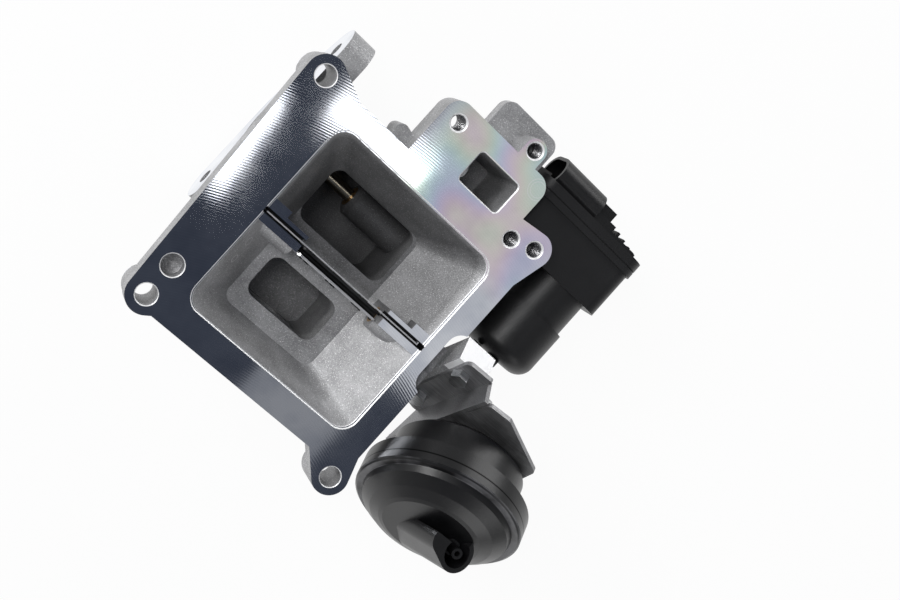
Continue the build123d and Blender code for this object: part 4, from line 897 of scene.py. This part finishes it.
# ------------------------------------------------------------------------------------------- small pieces
def lay_tube(name: str, points: np.ndarray) -> bpy.types.Object:
    """Make a closed piece from rings of points, one quad for each cell and a cap at both ends.

    Args:
        name: Name of the piece.
        points: Rings, points of a ring and x, y, z in metres.

    Returns:
        The piece.
    """
    rings, sides = points.shape[:2]
    index = np.arange(rings * sides).reshape(rings, sides)
    here, down = index[:-1], index[1:]
    right, both = np.roll(here, -1, axis=1), np.roll(down, -1, axis=1)
    faces = np.stack([here, right, both, down], axis=-1).reshape(-1, 4).tolist()
    faces += [index[0, ::-1].tolist(), index[-1].tolist()]
    mesh = bpy.data.meshes.new(name)
    mesh.from_pydata(points.reshape(-1, 3).tolist(), [], faces)
    form = bmesh.new()
    form.from_mesh(mesh)
    bmesh.ops.recalc_face_normals(form, faces=form.faces)
    form.to_mesh(mesh)
    form.free()
    mesh.shade_smooth()
    piece = bpy.data.objects.new(name, mesh)
    bpy.context.scene.collection.objects.link(piece)
    return piece


def finish_piece(piece: bpy.types.Object, material: bpy.types.Material, body: str) -> None:
    """Dress a piece and tie it to its body.

    Args:
        piece: The piece.
        material: Its finish.
        body: Body that it moves with.
    """
    piece.data.materials.append(material)
    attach(piece, body)
    LOG.info("%s: %d faces on %s", piece.name, len(piece.data.polygons), body)


def side_axes(axis: np.ndarray) -> tuple[np.ndarray, np.ndarray]:
    """Find two directions at right angles to an axis and to each other.

    Args:
        axis: Unit vector.

    Returns:
        The two unit vectors.
    """
    helper = np.eye(3)[np.argmin(np.abs(axis))]
    first = np.cross(axis, helper)
    first /= np.linalg.norm(first)
    return first, np.cross(axis, first)


@dataclass
class Threads:
    """Crests of the cut threads in the casting's tapped holes."""

    material: bpy.types.Material
    pitch: float = 1.25 * MM
    crest: float = 0.34 * MM
    sunk: float = 0.06 * MM
    foot: float = 0.4               # half of the triangle's base, in pitches
    run_in: float = 1.0 * MM
    steps: int = 28
    # how far under the hole's mouth the record's mark lies, on each face
    mark_depth: dict[str, float] = field(default_factory=lambda: {"cooler": 5.0 * MM, "exhaust": 6.0 * MM})

    def coil(self, name: str, mouth: np.ndarray, axis: np.ndarray, radius: float,
             depth: float) -> bpy.types.Object:
        """Wind one thread into a hole.

        A triangle turns about the axis and sinks by the pitch each turn. Its base, 0.8 pitch long, is sunk
        in the wall and its tip stands the crest's height inside the hole: point = mouth - axis z +
        r (cos t, sin t), with z = run_in + pitch t / 2 pi + the corner's own place along the axis.

        Args:
            name: Name of the piece.
            mouth: Centre of the hole's mouth.
            axis: Unit vector out of the hole.
            radius: Radius of the drilled hole.
            depth: How deep the thread goes.

        Returns:
            The piece.
        """
        turns = int((depth - 2 * self.run_in) / self.pitch)
        angle = np.linspace(0.0, FULL_TURN * turns, self.steps * turns + 1)[:, None]
        reach = np.array([radius + self.sunk, radius - self.crest, radius + self.sunk])[None, :]
        rise = np.array([-self.foot, 0.0, self.foot])[None, :] * self.pitch
        drop = self.run_in + self.pitch * angle / FULL_TURN + rise
        first, second = side_axes(axis)
        ring = np.cos(angle)[..., None] * first + np.sin(angle)[..., None] * second
        points = mouth + ring * reach[..., None] - drop[..., None] * axis
        return lay_tube(name, points)

    def build(self) -> None:
        """Wind a thread into every tapped hole of the record."""
        for mount in frame["record"]["mounts"]:
            if mount["kind"] != "threaded_hole":
                continue
            axis = np.array(mount["axis"], dtype=float)
            mark = np.array(mount["pos_m"], dtype=float)
            mouth = mark + self.mark_depth[mount["name"].split("_")[0]] * axis
            radius, depth = mount["dims"]["r_mm"] * MM, mount["dims"]["length_mm"] * MM
            piece = self.coil("crests_" + mount["name"], mouth, axis, radius, depth)
            finish_piece(piece, self.material, "housing")


@dataclass
class SoftParts:
    """Springs and diaphragm, each copied into a piece of its own in place of its CAD node."""

    steel: bpy.types.Material
    rubber: bpy.types.Material
    slack: float = 0.05 * MM                        # left free at the pressed end of a spring
    cover_inside: float = 15.4                      # along the can's axis, millimetres
    fold: tuple[float, float] = (-0.5, -15.4)       # where the diaphragm leaves the rim and meets the plate

    def stand_in(self, node: str, material: bpy.types.Material) -> bpy.types.Object:
        """Copy a node's shape into a piece, and hide the node.

        Args:
            node: Name of the CAD node.
            material: Finish of the piece.

        Returns:
            The piece.
        """
        piece = bpy.data.objects.new(node + "_soft", frame["nodes"][node].data.copy())
        bpy.context.scene.collection.objects.link(piece)
        piece.data.materials.clear()
        piece.data.materials.append(material)
        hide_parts(node)
        return piece

    def spring(self, node: str) -> None:
        """Copy a spring into a piece with a mesh of its own, tied to the housing.

        Args:
            node: Name of the CAD node.
        """
        piece = self.stand_in(node, self.steel)
        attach(piece, "housing")
        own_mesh(piece)

    def build(self) -> None:
        """Make the two springs and the diaphragm."""
        self.spring("valve_return_spring")
        self.spring("diaphragm_spring")
        skin = self.stand_in("diaphragm", self.rubber)
        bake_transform(skin)


@dataclass
class MotorBosses:
    """Two moulded bosses on the end of the motor's cap; lengths in millimetres from the chamber's centre."""

    material: bpy.types.Material
    cap_face: float = 19.0
    height: float = -25.0
    reach: float = 3.6
    sunk: float = 0.5
    edge: float = 0.8               # size of the rounded end
    corner: float = 0.25            # from both faces to the middle of the rounding
    flat: float = 0.3               # share of the radius where the end's middle face starts
    sides: int = 40
    bosses: tuple[tuple[str, float, float], ...] = (("small", 72.0, 2.2), ("large", 82.1, 3.2))

    def turn(self, name: str, across: float, radius: float) -> bpy.types.Object:
        """Turn one boss about an axis along -Y.

        The profile runs from under the cap's face to the rounded end: radius and depth pairs, each turned
        into point = centre + r (cos t, 0, sin t) - depth in Y.

        Args:
            name: Name of the piece.
            across: Place along X.
            radius: Radius of the boss.

        Returns:
            The piece.
        """
        reach, edge, corner = self.reach, self.edge, self.corner
        profile = np.array([(radius, -self.sunk), (radius, reach - edge), (radius - corner, reach - corner),
                            (radius - edge, reach), (self.flat * radius, reach)])
        angle = np.linspace(0.0, FULL_TURN, self.sides, endpoint=False)[None, :]
        r, depth = profile[:, 0][:, None], profile[:, 1][:, None]
        x = across + r * np.cos(angle)
        z = self.height + r * np.sin(angle)
        y = np.broadcast_to(self.cap_face - depth, x.shape)
        points = (np.stack([x, y, z], axis=-1) + CHAMBER) * MM
        return lay_tube(name, points)

    def build(self) -> None:
        """Set both bosses on the cap."""
        for label, across, radius in self.bosses:
            piece = self.turn("motor_boss_" + label, across, radius)
            finish_piece(piece, self.material, "housing")


# ------------------------------------------------------------------------------------------- studio
@dataclass(frozen=True)
class Softbox:
    """A lit rectangle that faces the valve, or the floor under it when it hangs overhead."""

    name: str
    place: Place
    size: tuple[float, float]
    watts: float
    overhead: bool = False
    turn: float = 0.0                               # about its own axis, degrees

    def hang(self, middle: Place) -> None:
        """Hang it.

        Args:
            middle: Middle of the valve.
        """
        x, y, _ = self.place
        target = (x, y, 0.0) if self.overhead else middle
        data = bpy.data.lights.new(self.name, "AREA")
        data.shape = "RECTANGLE"
        data.size, data.size_y = self.size
        data.energy = self.watts
        lamp = bpy.data.objects.new(self.name, data)
        lamp.location = self.place
        look = (Vector(target) - Vector(self.place)).to_track_quat("-Z", "Y")
        lamp.rotation_mode = "QUATERNION"
        lamp.rotation_quaternion = look @ Matrix.Rotation(math.radians(self.turn), 3, "Z").to_quaternion()
        lamp.visible_camera = False
        bpy.context.scene.collection.objects.link(lamp)


SOFTBOXES = (
    Softbox("key", (-1.15, 0.10, 0.75), (0.55, 0.55), 10.0),
    Softbox("top", (-0.62, 0.02, 1.20), (0.40, 0.40), 5.5),
    Softbox("fill", (0.9, -0.9, 0.7), (0.8, 0.8), 4.0),
    Softbox("back", (0.3, 1.2, 0.5), (0.9, 0.5), 5.0),
    # the four panels that the milled face mirrors towards the camera
    Softbox("band panel", (0.292, 0.170, 1.0), (0.130, 0.046), 0.045, overhead=True),
    Softbox("edge panel", (0.185, 0.075, 1.0), (0.016, 0.120), 0.020, overhead=True, turn=6.0),
    Softbox("grey panel", (0.530, 0.170, 1.0), (0.420, 0.360), 0.240, overhead=True),
    Softbox("low panel", (0.420, -0.090, 1.0), (0.120, 0.200), 0.014, overhead=True),
)


@dataclass
class Studio:
    """White floor, plain world, softboxes and the camera."""

    floor_z: float = -0.075
    floor_half: float = 3.0
    floor_colour: Colour = (0.9, 0.9, 0.9)
    floor_glow: float = 0.94                        # share of plain white that the camera sees
    middle: Place = (10.0, 0.0, -20.0)              # of the valve, millimetres from the chamber's centre
    lens: float = 60.61
    sensor: float = 36.0
    clip: tuple[float, float] = (0.01, 50.0)
    eye: Place = (-0.126747, 0.045145, 0.591068)
    right: Place = (0.689747, 0.667032, 0.281633)
    down: Place = (0.631961, -0.744450, 0.215452)
    ahead: Place = (0.353375, 0.029374, -0.935020)
    pale_below: float = 0.30
    dim_above: float = 0.96
    pale_air: Colour = (0.34, 0.345, 0.35)
    dim_air: Colour = (0.040, 0.046, 0.062)

    def camera(self) -> None:
        """Place the camera; its axes are right, minus down and minus ahead."""
        data = bpy.data.cameras.new("camera")
        data.lens = self.lens
        data.sensor_width = self.sensor
        data.clip_start, data.clip_end = self.clip
        eye = bpy.data.objects.new("camera", data)
        bpy.context.scene.collection.objects.link(eye)
        turn = Matrix((self.right, [-c for c in self.down], [-c for c in self.ahead])).transposed()
        eye.matrix_world = Matrix.Translation(self.eye) @ turn.to_4x4()
        bpy.context.scene.camera = eye

    def floor(self) -> None:
        """Lay a white floor that shows white to the camera and keeps a little of the shadow."""
        corners = self.floor_half * np.array([[-1, -1], [1, -1], [1, 1], [-1, 1]], dtype=float)
        points = np.column_stack([corners, np.full(4, self.floor_z)])
        mesh = bpy.data.meshes.new("floor")
        mesh.from_pydata(points.tolist(), [], [(0, 1, 2, 3)])
        floor = bpy.data.objects.new("floor", mesh)
        bpy.context.scene.collection.objects.link(floor)
        material = bpy.data.materials.new("floor white")
        material.use_nodes = True
        net = Net(material.node_tree)
        net.tree.nodes.clear()
        lit = net.add("ShaderNodeBsdfDiffuse")
        net.feed(lit.inputs["Color"], self.floor_colour)
        glow = net.add("ShaderNodeEmission")
        net.feed(glow.inputs["Strength"], 1.0)
        path = net.add("ShaderNodeLightPath")
        seen = net.calc("MAXIMUM", path.outputs["Is Camera Ray"], path.outputs["Is Glossy Ray"])
        seen = net.calc("MAXIMUM", seen, path.outputs["Is Transmission Ray"])
        mix = net.add("ShaderNodeMixShader")
        net.feed(mix.inputs[0], net.calc("MULTIPLY", seen, self.floor_glow))
        net.feed(mix.inputs[1], lit.outputs[0])
        net.feed(mix.inputs[2], glow.outputs[0])
        out = net.add("ShaderNodeOutputMaterial")
        net.feed(out.inputs[0], mix.outputs[0])
        mesh.materials.append(material)

    def world(self) -> None:
        """Light the air: dim overhead, paler towards the horizon, white to the camera."""
        world = bpy.data.worlds.new("studio air")
        bpy.context.scene.world = world
        world.use_nodes = True
        net = Net(world.node_tree)
        net.tree.nodes.clear()
        place = net.add("ShaderNodeTexCoord")
        rise = net.xyz(place.outputs["Generated"])[2]
        tone = net.blend(net.ramp(rise, self.pale_below, self.dim_above), self.pale_air, self.dim_air)
        air = net.add("ShaderNodeBackground")
        net.feed(air.inputs["Color"], tone)
        white = net.add("ShaderNodeBackground")
        net.feed(white.inputs["Color"], WHITE)
        path = net.add("ShaderNodeLightPath")
        mix = net.add("ShaderNodeMixShader")
        net.feed(mix.inputs[0], path.outputs["Is Camera Ray"])
        net.feed(mix.inputs[1], air.outputs[0])
        net.feed(mix.inputs[2], white.outputs[0])
        out = net.add("ShaderNodeOutputWorld")
        net.feed(out.inputs[0], mix.outputs[0])

    def build(self) -> None:
        """Set up the whole studio."""
        self.floor()
        self.world()
        for softbox in SOFTBOXES:
            softbox.hang(near_chamber(*self.middle))
        self.camera()


def main() -> None:
    """Dress the valve, add its small pieces and set up the studio."""
    logging.basicConfig(level=logging.INFO, format="%(message)s")
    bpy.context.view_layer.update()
    built = {finish: finish.value.build() for finish in Finish}
    dress_nodes(built)
    Threads(built[Finish.BRIGHT]).build()
    MotorBosses(built[Finish.GEARBOX]).build()
    SoftParts(built[Finish.BRIGHT], built[Finish.RUBBER]).build()
    Studio().build()
    bpy.context.scene.view_settings.view_transform = "Standard"


if __name__ == "__main__":
    main()
